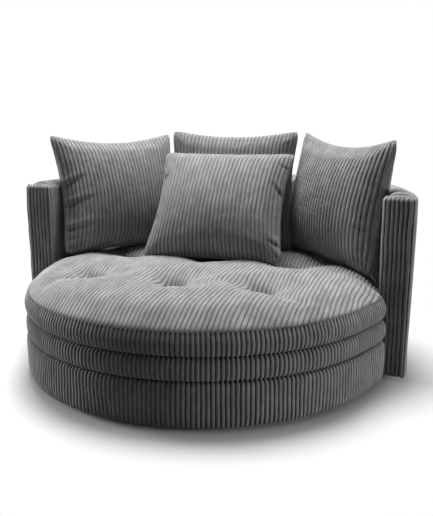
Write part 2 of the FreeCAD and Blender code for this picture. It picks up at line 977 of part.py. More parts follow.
def wall_section(skin):
    """The wall's section, with soft shoulders and a slightly domed top."""
    inner = shell_inner + skin
    outer = shell_radius - skin
    corner = s.back_top_corner - skin
    shoulder = s.shell_height - s.back_top_rise - skin
    top_half = (outer - inner) / 2 - corner
    corners = [
        (inner, s.floor_gap + skin),
        (outer, s.floor_gap + skin),
        (outer, shoulder - corner),
        (outer - corner, shoulder),
        (inner + corner, shoulder),
        (inner, shoulder - corner),
    ]
    return corners, {
        2: corner,
        3: sagitta_radius(top_half, s.back_top_rise),
        4: corner,
    }


def wall(name, skin):
    """The whole wall inside a skin, with its two ends rounded."""
    body = revolved(name, wall_section(skin),
                    (s.shell_half_angle - arc_angle(skin, shell_inner)) * 2)
    doc.recompute()
    turned = body.Tip
    edges = []
    for face in turned.Shape.Faces:
        flat = isinstance(face.Surface, Part.Plane)
        if flat and abs(face.Surface.Axis.z) < math.sqrt(0.5):
            edges += [edge for edge in face.Edges if not level_at_bottom(edge, skin)]
    names = [
        "Edge%d" % (i + 1)
        for i, edge in enumerate(turned.Shape.Edges)
        if any(edge.isSame(other) for other in edges)
    ]
    rounding = body.newObject("PartDesign::Fillet", name + "Ends")
    rounding.Base = (turned, names)
    bind(rounding, "Radius", s.back_end_round - skin)
    body.Tip = rounding
    return body


def level_at_bottom(edge, skin):
    lowest = s.floor_gap.value + skin.value
    return abs(edge.BoundBox.ZMax - lowest) < s.layer_gap.value


wall_outside = wall("WallOutside", ZERO)
wall_inside = wall("WallInside", s.cover_thickness)
wall_stuffing = wall("WallStuffing", under_cover)
wall_slot = ring("WallSlot", rail_inner, rail_outer, s.floor_gap - s.overrun,
                 frame_bottom + s.overrun, frame_angle)
node(cut("WallCover", wall_outside, wall_inside, wall_slot, bolt_holes), "back_cover")

back_holes = glide_parts("back", (rail_inner + rail_outer) / 2, s.back_glide_radius,
                         s.back_glide_count, rail_angle - post_angle)
node(cut("WallDust", ring("WallDustStrip", rail_inner + s.layer_gap, rail_outer - s.layer_gap,
                          glide_top, frame_bottom, rail_angle), back_holes),
     "back_dust_cover")


def wall_rail(name, bottom, height):
    return ring(name, rail_inner, rail_outer, bottom, bottom + height, rail_angle)


bottom_rail_top = frame_bottom + s.back_bottom_rail_height
top_rail_bottom = back_frame_top - s.back_top_rail_height
mid_rail_bottom = (bottom_rail_top + top_rail_bottom - s.back_mid_rail_height) / 2
mid_rail_top = mid_rail_bottom + s.back_mid_rail_height
node(cut("LowRail", wall_rail("LowRailWhole", frame_bottom, s.back_bottom_rail_height),
         bolt_holes, nut_pockets, back_holes), "back_bottom_rail")
node(wall_rail("MidRail", mid_rail_bottom, s.back_mid_rail_height), "back_mid_rail")
node(wall_rail("TopRail", top_rail_bottom, s.back_top_rail_height), "back_top_rail")

stud_span = rail_angle * (s.back_stud_count - 1) / s.back_stud_count
stud_outer = rail_outer - s.post_setback
node(group("Studs",
           block_group("LowStuds", rail_inner, stud_outer, s.back_stud_width, bottom_rail_top,
                       mid_rail_bottom - bottom_rail_top, s.back_stud_count, stud_span),
           block_group("HighStuds", rail_inner, stud_outer, s.back_stud_width, mid_rail_top,
                       top_rail_bottom - mid_rail_top, s.back_stud_count, stud_span)),
     "back_studs")
node(block_group("EndPosts", rail_inner, stud_outer, s.back_end_post_width, frame_bottom,
                 back_frame_top - frame_bottom, s.back_end_post_count,
                 rail_angle + post_angle), "back_end_posts")

node(cut("InnerBoard", ring("InnerBoardWhole", board_inner,
                            board_inner + s.back_board_thickness, frame_bottom,
                            back_frame_top, frame_angle), bolt_holes), "back_inner_board")
node(ring("OuterBoard", board_outer - s.back_board_thickness, board_outer, frame_bottom,
          back_frame_top, frame_angle), "back_outer_board")
spacers = block_group("Spacers", shell_inner + under_cover, board_inner - s.spacer_setback,
                      s.spacer_width, s.bolt_height - s.spacer_height / 2, s.spacer_height,
                      s.bolt_count, s.bolt_span_angle)
node(cut("DrilledSpacers", spacers, bolt_holes), "mounting_spacers")


def strips(name, inner, outer, bottom, top, angle, count):
    """A stretch of ring laid in strips side by side, as flat padding goes round a curve."""
    pitch = angle / count
    body = ring(name, inner, outer, bottom, top, pitch - arc_angle(s.layer_gap, inner))
    return repeated(body, [body.Tip], body.Tip.Profile[0], count, pitch * (count - 1))


node(strips("InnerFoam", shell_inner + under_cover, board_inner - s.layer_gap,
            s.base_tier_top + s.back_foam_rise, back_frame_top, frame_angle,
            s.back_foam_strip_count), "back_inner_foam")
node(strips("OuterWadding", board_outer + s.layer_gap, shell_radius - under_cover,
            frame_bottom + s.layer_gap, back_frame_top, frame_angle,
            s.back_wadding_strip_count), "back_outer_wadding")

pad_angle = frame_angle + arc_angle(s.layer_gap, shell_inner) * 2
below_top = ring("BelowTop", shell_inner - s.overrun, shell_radius + s.overrun,
                 s.floor_gap - s.overrun, back_frame_top + s.layer_gap)
above_frame = ring("AboveFrame", shell_inner - s.overrun, shell_radius + s.overrun,
                   back_frame_top, s.shell_height + s.overrun)
between_ends = ring("BetweenEnds", shell_inner - s.overrun, shell_radius + s.overrun,
                    s.floor_gap - s.overrun, back_frame_top + s.overrun, pad_angle)
joint_count = s.back_foam_strip_count - 1
strip_angle = s.shell_half_angle * 2 / s.back_foam_strip_count
top_joints = ring("TopJoints", shell_inner - s.overrun, shell_radius + s.overrun,
                  s.floor_gap, s.shell_height + s.overrun, arc_angle(s.layer_gap, shell_inner))
repeated(top_joints, [top_joints.Tip], top_joints.Tip.Profile[0], joint_count,
         strip_angle * (joint_count - 1))
node(cut("TopFoam", wall_stuffing, below_top, top_joints), "back_top_foam")
node(cut("EndPads", wall_stuffing, above_frame, between_ends), "back_end_pads")


# Scatter cushions

def scatter_net(width, height, front, back, dip):
    """Control points of a stuffed square: pointed ears, waisted edges and a full middle.

    dip is the top edge's own waist.
    """
    count = int(s.scatter_net_count.value)
    steps = [2 * i / (count - 1) - 1 for i in range(count)]
    waist = s.scatter_waist_share.value
    sag = s.scatter_sag_share.value
    fullness = s.scatter_fullness_share.value
    nets = []
    for side, depth in ((-1, front), (1, back)):
        rows = []
        for v in steps:
            row = []
            for u in steps:
                x = u * width / 2 * (1 - waist * (1 - v * v))
                edge_waist = (waist * (1 - v) + dip * (1 + v)) / 2
                z = v * height / 2 * (1 - edge_waist * (1 - u * u))
                swell = ((1 - u * u) * (1 - v * v)) ** fullness * (1 - sag * v)
                row.append(Vector(x, side * depth * swell, z))
            rows.append(row)
        nets.append(rows)
    return nets


def scatter_solid(width, height, front, back, dip):
    """A closed pillow of two stretched faces that share their edge."""
    degree = int(s.scatter_net_degree.value)
    spans = int(s.scatter_net_count.value) - degree
    knots = [i / spans for i in range(spans + 1)]
    repeats = [degree + 1] + [1] * (spans - 1) + [degree + 1]
    faces = []
    for net in scatter_net(width, height, front, back, dip):
        surface = Part.BSplineSurface()
        surface.buildFromPolesMultsKnots(net, repeats, repeats, knots, knots, False, False,
                                         degree, degree)
        faces.append(surface.toShape())
    shell = Part.makeShell(faces)
    shell.sewShape()
    solid = Part.makeSolid(shell)
    if solid.Volume < 0:
        solid.reverse()
    return solid


def zip_box(grow):
    """The concealed zip's space, set up into the middle of the lower seam."""
    waist_rise = s.scatter_height.value / 2 * (1 - s.scatter_waist_share.value)
    length = s.scatter_zip_length.value + 2 * grow
    width = s.scatter_zip_width.value + 2 * grow
    drop = s.scatter_zip_height.value / 2
    low = -waist_rise - drop - (s.scatter_height.value if grow else 0)
    high = -waist_rise + s.scatter_zip_height.value - drop + grow
    return Part.makeBox(length, width, high - low, Vector(-length / 2, -width / 2, low))


def scatter_cushion(label, front, back, dip, place_at, lean, turned, tip=ZERO):
    """A loose cushion: cover, filling and zip, stood up and leaned back at its place."""
    width = s.scatter_width.value
    height = s.scatter_height.value
    seam = s.scatter_seam_width.value
    gap = s.layer_gap.value
    outer = scatter_solid(width, height, front.value, back.value, dip.value)
    skin = s.cover_thickness.value
    inner = scatter_solid(width - 2 * seam, height - 2 * seam, front.value - skin,
                          back.value - skin, dip.value)
    filling = scatter_solid(width - 2 * seam - 2 * gap, height - 2 * seam - 2 * gap,
                            front.value - skin - gap, back.value - skin - gap, dip.value)
    shapes = (
        ("cover", outer.cut(inner).cut(zip_box(gap))),
        ("filling", filling),
        ("zip", zip_box(0)),
    )
    tilt = Rotation(SIDEWAYS, -lean.value).multiply(Rotation(BACKWARDS, tip.value))
    stand = Rotation(UP, turned.value).multiply(tilt)
    x, depth, rise = place_at
    for piece, shape in shapes:
        feature = doc.addObject("Part::Feature", label + piece)
        feature.Shape = shape
        feature.Placement = FreeCAD.Placement(Vector(), stand)
        place(feature, x, axis_y + depth, crown_height + rise)
        node(feature, label + "_" + piece)


scatter_cushion("front_cushion", s.scatter_full_bulge, s.scatter_pressed_bulge,
                s.front_cushion_dip_share,
                (ZERO, s.front_cushion_depth, s.front_cushion_rise),
                s.front_cushion_lean_angle, s.front_cushion_turn_angle)
scatter_cushion("back_cushion", s.scatter_pressed_bulge, s.scatter_full_bulge,
                s.back_cushion_dip_share,
                (-s.back_cushion_shift, s.back_cushion_depth, s.back_cushion_rise),
                s.back_cushion_lean_angle, ZERO)
scatter_cushion("left_cushion", s.scatter_side_bulge, s.scatter_side_bulge,
                s.left_cushion_dip_share,
                (-s.left_cushion_offset, s.left_cushion_depth, s.left_cushion_rise),
                s.left_cushion_lean_angle, s.left_cushion_turn_angle)
scatter_cushion("right_cushion", s.scatter_side_bulge, s.scatter_side_bulge,
                s.right_cushion_dip_share,
                (s.right_cushion_offset, s.right_cushion_depth, s.right_cushion_rise),
                s.right_cushion_lean_angle, -s.right_cushion_turn_angle,
                s.right_cushion_tip_angle)

doc.recompute()

for obj in doc.Objects:
    if "Invalid" in obj.State or "Error" in obj.State:
        raise RuntimeError(obj.Name + " failed: " + ", ".join(obj.State))
for piece in nodes:
    shape = piece.Shape
    if shape.isNull() or not shape.isValid() or not shape.Solids:
        raise RuntimeError(piece.Label + " has no sound shape")
for piece in nodes:
    piece.Shape.exportStep("parts/" + piece.Label + ".step")
print(len(nodes), "nodes written")
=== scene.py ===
import json
import math

import bpy
import numpy as np
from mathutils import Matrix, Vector


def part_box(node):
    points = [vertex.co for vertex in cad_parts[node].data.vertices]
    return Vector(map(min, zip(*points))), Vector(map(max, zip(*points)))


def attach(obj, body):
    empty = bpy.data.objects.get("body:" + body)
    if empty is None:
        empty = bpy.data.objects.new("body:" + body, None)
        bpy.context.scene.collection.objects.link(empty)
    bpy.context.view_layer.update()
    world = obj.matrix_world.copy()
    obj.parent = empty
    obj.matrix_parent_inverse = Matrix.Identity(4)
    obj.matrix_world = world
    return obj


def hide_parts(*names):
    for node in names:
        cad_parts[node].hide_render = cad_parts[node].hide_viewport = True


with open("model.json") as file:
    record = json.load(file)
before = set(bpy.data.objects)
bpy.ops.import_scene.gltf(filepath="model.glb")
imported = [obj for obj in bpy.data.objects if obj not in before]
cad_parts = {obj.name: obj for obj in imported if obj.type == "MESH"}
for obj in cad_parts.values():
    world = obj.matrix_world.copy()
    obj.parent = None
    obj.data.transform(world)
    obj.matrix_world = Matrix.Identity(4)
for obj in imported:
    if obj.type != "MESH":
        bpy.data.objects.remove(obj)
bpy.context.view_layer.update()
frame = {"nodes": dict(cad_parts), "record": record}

# Sizes are in metres. Places come from the frame's own boxes. The drum's axis stands at x = 0,
# y = AXIS_Y. "Spread" is how far apart the swings of a random field lie.

WALE = 0.0142                     # from one wale of the corduroy to the next
WALE_STEPS = (0.0, 0.07, 0.18, 0.34, 0.5, 0.66, 0.82, 0.93)    # columns of points across it
WALE_DEPTH = 0.0040
GROOVE_POWER, CREST_POWER = 2.2, 0.7
DRIFT, DRIFT_SPREAD = 0.08, 0.14            # how far wales stray sideways, in wales
FULLNESS, FULLNESS_SPREAD = 0.20, 0.07      # how unevenly deep the grooves are
DENT, DENT_SPREAD = 0.0007, 0.05            # small dents in the cloth
PLUMP, PLUMP_SPREAD = 0.0022, 0.34          # slack between the stuffing's full places
PLUMP_SQUAT = 2.2                 # how much wider than high they are

WALL_THICK = 0.102
WALL_EDGE = math.radians(93.35)   # the wall's end, measured round from the back
WALL_GAP = 0.001                  # between a tier and the wall
SQUEEZE_RUN = 0.026               # how far out from the wall's end a tier fills out again
SQUEEZE_DEPTH = 0.12              # how deep in a tier gives way
SWELL = 0.015                     # how far it bulges in front of the wall's end
SWELL_RUN = 0.150                 # how far the bulge runs on towards the front

CLOTH_COLOUR = (0.302, 0.300, 0.295)
FLOOR_COLOUR = (0.86, 0.855, 0.845)


def corners(node):
    """A node's box as two corners."""
    low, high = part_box(node)
    return np.array(low), np.array(high)


base_low, base_high = corners("base_cover")
deck_low, deck_high = corners("deck_cover")
seat_low, seat_high = corners("seat_cushion_cover")
wall_low, wall_high = corners("back_cover")
DRUM = (base_high[0] - base_low[0]) / 2
AXIS_Y = base_low[1] + DRUM
WALL_OUT = (wall_high[0] - wall_low[0]) / 2
WALL_IN = WALL_OUT - WALL_THICK
TUCK = DRUM - (WALL_IN - WALL_GAP)
SEAM_RADIUS = DRUM - 0.014        # the seam round the seat's top
SEAM_TUCK = 0.010                 # how far it is pressed in inside the wall
SEAM_Z = seat_low[2] + 0.0777
SHOULDER_RADIUS = SEAM_RADIUS - 0.186       # where the dome ends and the edge rolls over
SHOULDER_Z = SEAM_Z + 0.052
CROWN_Z = seat_high[2]


# Number helpers

def smooth(t):
    """An even step from 0 to 1."""
    t = np.clip(t, 0, 1)
    return t * t * (3 - 2 * t)


def rounded(s, power):
    """How far a rounded section falls back, from 0 at s = 0 to 1 at s = 1 or -1."""
    return 1 - (1 - abs(s) ** power) ** (1 / power)


WAVE_RATES = (0.6, 1.6)           # the slowest and fastest swing of a random field


def wander(u, v, spread, seed, waves=9):
    """A gentle random field between about -1 and 1, the same on every run."""
    rng = np.random.default_rng(seed)
    total = np.zeros(np.broadcast(u, v).shape)
    for _ in range(waves):
        angle = rng.uniform(0, 2 * math.pi)
        rate = 2 * math.pi / spread * rng.uniform(*WAVE_RATES)
        total = total + np.sin(
            rate * (u * math.cos(angle) + v * math.sin(angle)) + rng.uniform(0, 2 * math.pi))
    return total / math.sqrt(waves / 2) / 2


def wale_height(phase):
    """Height across a wale: 0 in the groove, 1 on the crest."""
    t = np.abs(2 * (phase - np.floor(phase)) - 1)
    return np.clip(1 - t ** GROOVE_POWER, 0, 1) ** CREST_POWER


def wale_columns(count):
    """Places across a cloth, as wale numbers, closer together near each groove."""
    return np.array([k + step for k in range(count) for step in WALE_STEPS])


def normals_of(points, around):
    """Unit normals of a grid of points, rows by columns."""
    if around:
        across = np.roll(points, -1, 1) - np.roll(points, 1, 1)
    else:
        across = np.gradient(points, axis=1)
    along = np.gradient(points, axis=0)
    normal = np.cross(across, along)
    length = np.linalg.norm(normal, axis=2, keepdims=True)
    return normal / np.maximum(length, 1e-12)


def ribbed(points, phase, u, v, around, outward, fade=1.0, seed=1):
    """Sink the grooves between the wales into a smooth surface, and return the height across
    the wale, which the corduroy material also uses to paint shade into the grooves and a
    highlight onto the crests.
    """
    drift = DRIFT * wander(u, v, DRIFT_SPREAD, seed)
    pile_and_painted_shade = wale_height(phase + drift)
    fullness = 1 + FULLNESS * wander(u, v, FULLNESS_SPREAD, seed + 50)
    normal = normals_of(points, around) * outward
    sink = WALE_DEPTH * (1 - pile_and_painted_shade) * fade * fullness
    dent = DENT * wander(u, v, DENT_SPREAD, seed + 90) * fade
    return points - normal * (sink + np.abs(dent))[..., None], pile_and_painted_shade


# Splines through a grid of points

def spline_weights(t):
    """Weights of four neighbours for a smooth curve through the middle two."""
    return np.stack([
        -0.5 * t + t ** 2 - 0.5 * t ** 3,
        1 - 2.5 * t ** 2 + 1.5 * t ** 3,
        0.5 * t + 2 * t ** 2 - 1.5 * t ** 3,
        -0.5 * t ** 2 + 0.5 * t ** 3,
    ], -1)


def widened(grid):
    """A grid with one more step at both ends of its first axis, straight on."""
    return np.concatenate([2 * grid[:1] - grid[1:2], grid, 2 * grid[-1:] - grid[-2:-1]])


def cells_at(places, last):
    """The cell each place lies in, and its weights."""
    cell = np.clip(np.floor(places).astype(int), 0, last - 1)
    return cell, spline_weights(places - cell)


def along_axis(grid, places):
    """Resample a grid's first axis at places given in its own steps."""
    cell, weight = cells_at(places, grid.shape[0] - 1)
    wide = widened(grid)
    picked = np.stack([wide[cell + k] for k in range(4)], 1)
    return np.einsum("nk,nk...->n...", weight, picked)


def resample(grid, rows, columns):
    """Resample a grid at every crossing of the rows and columns."""
    wide = along_axis(grid, rows)
    return np.swapaxes(along_axis(np.swapaxes(wide, 0, 1), columns), 0, 1)


def sample(grid, down, across):
    """A grid's points at scattered places, given in its own steps."""
    cell_down, weight_down = cells_at(down, grid.shape[0] - 1)
    cell_across, weight_across = cells_at(across, grid.shape[1] - 1)
    wide = np.swapaxes(widened(np.swapaxes(widened(grid), 0, 1)), 0, 1)
    points = np.zeros(down.shape + (3,))
    for i in range(4):
        for j in range(4):
            weight = weight_down[..., i] * weight_across[..., j]
            points += weight[..., None] * wide[cell_down + i, cell_across + j]
    return points


# Meshes

def grid_quads(index, flip=False):
    """Faces between a grid of point numbers, rows by columns."""
    quads = np.stack([index[:-1, :-1], index[:-1, 1:], index[1:, 1:], index[1:, :-1]], -1)
    quads = quads.reshape(-1, 4)
    return quads[:, ::-1] if flip else quads


def sewn_pair(shape):
    """Two grids sewn together along their rims: point numbers of both, the points used,
    and the faces."""
    index = np.arange(shape[0] * shape[1]).reshape(shape)
    rim = np.zeros(shape, bool)
    rim[[0, -1], :] = True
    rim[:, [0, -1]] = True
    other = np.where(rim, index, index + index.size)
    quads = np.concatenate([grid_quads(index), grid_quads(other, True)])
    used = np.unique(quads)
    renumber = np.zeros(2 * index.size, int)
    renumber[used] = np.arange(len(used))
    return renumber[index], renumber[other], used, renumber[quads]


def mesh_object(name, points, faces):
    """A mesh object in the scene."""
    mesh = bpy.data.meshes.new(name)
    mesh.from_pydata([tuple(p) for p in points], [], [tuple(int(i) for i in f) for f in faces])
    piece = bpy.data.objects.new(name, mesh)
    bpy.context.scene.collection.objects.link(piece)
    return piece


def cloth_mesh(name, points, faces, cloth, pile_and_painted_shade):
    """A mesh whose points keep their place in the cloth and their height across the wale; the
    material paints shade and highlight from that height.
    """
    piece = mesh_object(name, points, faces)
    mesh = piece.data
    place = mesh.attributes.new("cloth", "FLOAT_VECTOR", "POINT")
    place.data.foreach_set(
        "vector", np.column_stack([cloth, np.zeros(len(cloth))]).astype(np.float32).ravel())
    # the height across the wale, with any painted shade folded in, drives the material's
    # painted shade and highlight
    height = mesh.attributes.new("pile_and_painted_shade", "FLOAT", "POINT")
    height.data.foreach_set("value", pile_and_painted_shade.astype(np.float32))
    mesh.polygons.foreach_set("use_smooth", [True] * len(mesh.polygons))
    mesh.update()
    return piece


def cloth_piece(name, points, cloth, pile_and_painted_shade, around=False, flip=False):
    """A cloth mesh from a grid of points, closed round its columns where around is set."""
    rows, columns = points.shape[:2]
    index = np.arange(rows * columns).reshape(rows, columns)
    if around:
        index = np.concatenate([index, index[:, :1]], 1)
    return cloth_mesh(name, points.reshape(-1, 3), grid_quads(index, flip),
                      cloth.reshape(-1, 2), pile_and_painted_shade.reshape(-1))


# Materials

def new_material(name):
    """A material, its node tree and its shader."""
    material = bpy.data.materials.new(name)
    material.use_nodes = True
    return material, material.node_tree, material.node_tree.nodes["Principled BSDF"]


def link(tree, a, b):
    """Link two sockets."""
    tree.links.new(a, b)


def noise(tree, vector, scale, detail, stretch=(1, 1, 1)):
    """A noise value from 0 to 1."""
    mapping = tree.nodes.new("ShaderNodeMapping")
    mapping.inputs["Scale"].default_value = stretch
    link(tree, vector, mapping.inputs["Vector"])
    texture = tree.nodes.new("ShaderNodeTexNoise")
    texture.inputs["Scale"].default_value = scale
    texture.inputs["Detail"].default_value = detail
    link(tree, mapping.outputs["Vector"], texture.inputs["Vector"])
    return texture.outputs["Fac"]


def ramp(tree, value, low, high, low_colour, high_colour):
    """A colour that runs from one to another between two values."""
    node = tree.nodes.new("ShaderNodeValToRGB")
    node.color_ramp.elements[0].position = low
    node.color_ramp.elements[0].color = (*low_colour, 1)
    node.color_ramp.elements[1].position = high
    node.color_ramp.elements[1].color = (*high_colour, 1)
    link(tree, value, node.inputs["Fac"])
    return node.outputs["Color"]


def multiply(tree, a, b):
    """Two colours multiplied."""
    node = tree.nodes.new("ShaderNodeMix")
    node.data_type = "RGBA"
    node.blend_type = "MULTIPLY"
    node.inputs["Factor"].default_value = 1.0
    link(tree, a, node.inputs["A"])
    link(tree, b, node.inputs["B"])
    return node.outputs["Result"]


def mixed(tree, fac, first, second):
    """Two shaders mixed."""
    node = tree.nodes.new("ShaderNodeMixShader")
    link(tree, fac, node.inputs["Fac"])
    link(tree, first, node.inputs[1])
    link(tree, second, node.inputs[2])
    return node.outputs["Shader"]


def bump(tree, shader, height, strength, distance):
    """Fine relief on a shader."""
    node = tree.nodes.new("ShaderNodeBump")
    node.inputs["Strength"].default_value = strength
    node.inputs["Distance"].default_value = distance
    link(tree, height, node.inputs["Height"])
    link(tree, node.outputs["Normal"], shader.inputs["Normal"])


def corduroy(name, groove_painted_shade, crest_painted_highlight):
    """Wide-wale corduroy: painted shade darkens the grooves and a painted highlight lightens
    the crests, by the height across the wale; nap that lies unevenly.
    """
    material, tree, shader = new_material(name)
    place = tree.nodes.new("ShaderNodeAttribute")
    place.attribute_name = "cloth"
    place = place.outputs["Vector"]
    pile_and_painted_shade = tree.nodes.new("ShaderNodeAttribute")
    pile_and_painted_shade.attribute_name = "pile_and_painted_shade"
    # painted shade and painted highlight: groove colour darker and crest colour lighter than
    # the cloth, by the height across the wale
    body = ramp(tree, pile_and_painted_shade.outputs["Fac"], 0.10, 0.95,
                tuple(c * groove_painted_shade for c in CLOTH_COLOUR),
                tuple(c * crest_painted_highlight for c in CLOTH_COLOUR))
    nap = ramp(tree, noise(tree, place, scale=22, detail=5, stretch=(1, 0.5, 1)), 0.32, 0.68,
               (0.74, 0.74, 0.74), (1.0, 1.0, 1.0))
    streak = ramp(tree, noise(tree, place, scale=260, detail=3, stretch=(1, 0.12, 1)), 0.3, 0.7,
                  (0.70, 0.70, 0.71), (1.0, 1.0, 1.0))
    link(tree, multiply(tree, multiply(tree, body, nap), streak), shader.inputs["Base Color"])
    shader.inputs["Roughness"].default_value = 0.94
    shader.inputs["Specular IOR Level"].default_value = 0.05
    shader.inputs["Sheen Weight"].default_value = 0.25
    shader.inputs["Sheen Roughness"].default_value = 0.45
    fibres = noise(tree, place, scale=1500, detail=4, stretch=(1, 0.35, 1))
    bump(tree, shader, fibres, strength=0.35, distance=0.0007)
    return material


def plain(name, low, high, rough, scale, stretch=(1, 1, 1), metal=0.0, depth=0.0004):
    """A material with grain between two colours, for foams, frames and fittings."""
    material, tree, shader = new_material(name)
    place = tree.nodes.new("ShaderNodeTexCoord").outputs["Object"]
    grain = noise(tree, place, scale, 6, stretch)
    link(tree, ramp(tree, grain, 0.3, 0.7, low, high), shader.inputs["Base Color"])
    shader.inputs["Roughness"].default_value = rough
    shader.inputs["Metallic"].default_value = metal
    bump(tree, shader, grain, strength=0.3, distance=depth)
    return material


# Corduroy's groove share is painted shade, its crest share a painted highlight.
SLOT_MATERIALS = {
    "corduroy": corduroy("WideCorduroy", groove_painted_shade=0.24, crest_painted_highlight=1.25),
    "scatter_corduroy": corduroy("ScatterCorduroy", groove_painted_shade=0.40, crest_painted_highlight=1.14),
    "foam": plain("Foam", (0.80, 0.74, 0.54), (0.9, 0.86, 0.7), rough=0.95, scale=420),
    "wadding": plain("Wadding", (0.84, 0.84, 0.82), (0.96, 0.96, 0.94), rough=0.98, scale=180),
    "felt": plain("Felt", (0.34, 0.33, 0.31), (0.54, 0.52, 0.5), rough=0.97, scale=240),
    "dust_cloth": plain("DustCloth", (0.035, 0.035, 0.035), (0.07, 0.07, 0.07), rough=0.9,
                        scale=700),
    "plywood": plain("Plywood", (0.62, 0.46, 0.29), (0.8, 0.65, 0.46), rough=0.7, scale=26,
                     stretch=(1, 1, 9)),
    "timber": plain("Timber", (0.58, 0.41, 0.24), (0.78, 0.61, 0.41), rough=0.65, scale=30,
                    stretch=(6, 1, 1)),
    "hardboard": plain("Hardboard", (0.29, 0.19, 0.11), (0.42, 0.29, 0.18), rough=0.8,
                       scale=160),
    "spring_steel": plain("SpringSteel", (0.28, 0.29, 0.31), (0.42, 0.43, 0.45), rough=0.38,
                          scale=300, metal=1.0, depth=0.0001),
    "plated_steel": plain("PlatedSteel", (0.6, 0.6, 0.57), (0.78, 0.77, 0.74), rough=0.3,
                          scale=300, metal=1.0, depth=0.0001),
    "black_plastic": plain("BlackPlastic", (0.022, 0.022, 0.023), (0.042, 0.042, 0.044),
                           rough=0.5, scale=600, depth=0.0001),
    "zip_tape": plain("ZipTape", (0.09, 0.09, 0.09), (0.15, 0.15, 0.15), rough=0.75, scale=900),
    "cord": plain("TuftCord", (0.22, 0.22, 0.22), (0.36, 0.36, 0.36), rough=0.9, scale=900),
}
node_slots = {part["node"]: part["material_slot"] for part in frame["record"]["subparts"]}
for node_name, node_object in frame["nodes"].items():
    node_object.data.materials.clear()
    node_object.data.materials.append(SLOT_MATERIALS[node_slots[node_name]])


def dress(piece, body, material_slot, *nodes):
    """Give a piece its material and body, and let it stand for the named nodes."""
    piece.data.materials.append(SLOT_MATERIALS[material_slot])
    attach(piece, body)
    if nodes:
        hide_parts(*nodes)
    return piece


# Cloth simulation

MOST_MOVED = 0.012
RIM_GIVE = 0.3                    # the share of its move that a seam keeps


def simulate(points, faces, pinned, pressure, frames, stretch):
    """Puff a mesh up as cloth and return its points."""
    obj = mesh_object("Simulated", points, faces)
    mesh = obj.data
    group = obj.vertex_groups.new(name="Pinned")
    group.add([int(i) for i in pinned], 1.0, "REPLACE")
    modifier = obj.modifiers.new("Cloth", "CLOTH")
    settings = modifier.settings
    settings.quality = 5
    settings.mass = 0.35
    settings.tension_stiffness = 25
    settings.compression_stiffness = 18
    settings.shear_stiffness = 12
    settings.bending_stiffness = 0.6
    settings.use_pressure = True
    settings.uniform_pressure_force = pressure
    settings.shrink_min = -stretch
    settings.vertex_group_mass = "Pinned"
    settings.effector_weights.gravity = 0
    modifier.collision_settings.use_collision = False
    modifier.point_cache.frame_start = 1
    modifier.point_cache.frame_end = frames
    for number in range(1, frames + 1):
        bpy.context.scene.frame_set(number)
    graph = bpy.context.evaluated_depsgraph_get()
    result = obj.evaluated_get(graph).to_mesh()
    moved = np.zeros(len(points) * 3)
    result.vertices.foreach_get("co", moved)
    obj.evaluated_get(graph).to_mesh_clear()
    bpy.data.objects.remove(obj)
    bpy.data.meshes.remove(mesh)
    bpy.context.scene.frame_set(1)
    step = moved.reshape(-1, 3) - points
    length = np.linalg.norm(step, axis=1, keepdims=True)
    return points + step * np.minimum(1, MOST_MOVED / np.maximum(length, 1e-9))


def settled(before, after, from_seam):
    """A simulated grid with its finest jitter evened out, held back towards its seams.

    from_seam runs from 0 on a seam to 1 where the cloth is free.
    """
    step = after - before
    for axis in (0, 1):
        padding = [(1, 1) if k == axis else (0, 0) for k in range(3)]
        wide = np.pad(step, padding, mode="edge")
        count = step.shape[axis]
        step = sum(weight * np.take(wide, range(start, start + count), axis)
                   for start, weight in ((0, 0.25), (1, 0.5), (2, 0.25)))
    hold = RIM_GIVE + (1 - RIM_GIVE) * smooth(from_seam)
    return before + step * hold[..., None]


# Drum tiers

DRUM_WALES = int(round(2 * math.pi * DRUM / WALE))
HUB = 0.002                       # a flat panel closes in on the axis this far
PANEL_FLAT, PANEL_RUN = 0.25, 0.25          # wales begin to show this far out on a panel
ROLL_ROWS = 25
HEM_DEPTH = 0.072                 # how far in the base tier's cloth is turned under
HEM_GAP = 0.0005                  # between the base tier and the deck


def squeeze_at(front_angle):
    """How far a tier is pressed in, from 0 where it shows to 1 inside the wall."""
    from_back = math.pi - np.abs(front_angle)
    run = SQUEEZE_RUN / DRUM
    return smooth((WALL_EDGE + run - from_back) / run)


def swell_at(front_angle):
    """How far a tier's stuffing is pushed out in front of the wall's end."""
    from_wall = (math.pi - np.abs(front_angle) - WALL_EDGE) * DRUM - SQUEEZE_RUN
    return SWELL * smooth(from_wall / SQUEEZE_RUN + 1) * smooth(1 - from_wall / SWELL_RUN)


def roll_profile(inner, bottom, top, belly, power):
    """Down the section of a stuffed roll: radius and height."""
    middle = (bottom + top) / 2
    half = (top - bottom) / 2
    halfway = inner * 0.5 + (DRUM - belly) * 0.5
    rows = [(inner, bottom), (halfway, bottom)]
    for s in np.sin(np.linspace(-math.pi / 2, math.pi / 2, ROLL_ROWS)):
        rows.append((DRUM - belly * rounded(s, power), middle + half * s))
    rows += [(halfway, top), (inner, top)]
    return np.array(rows)


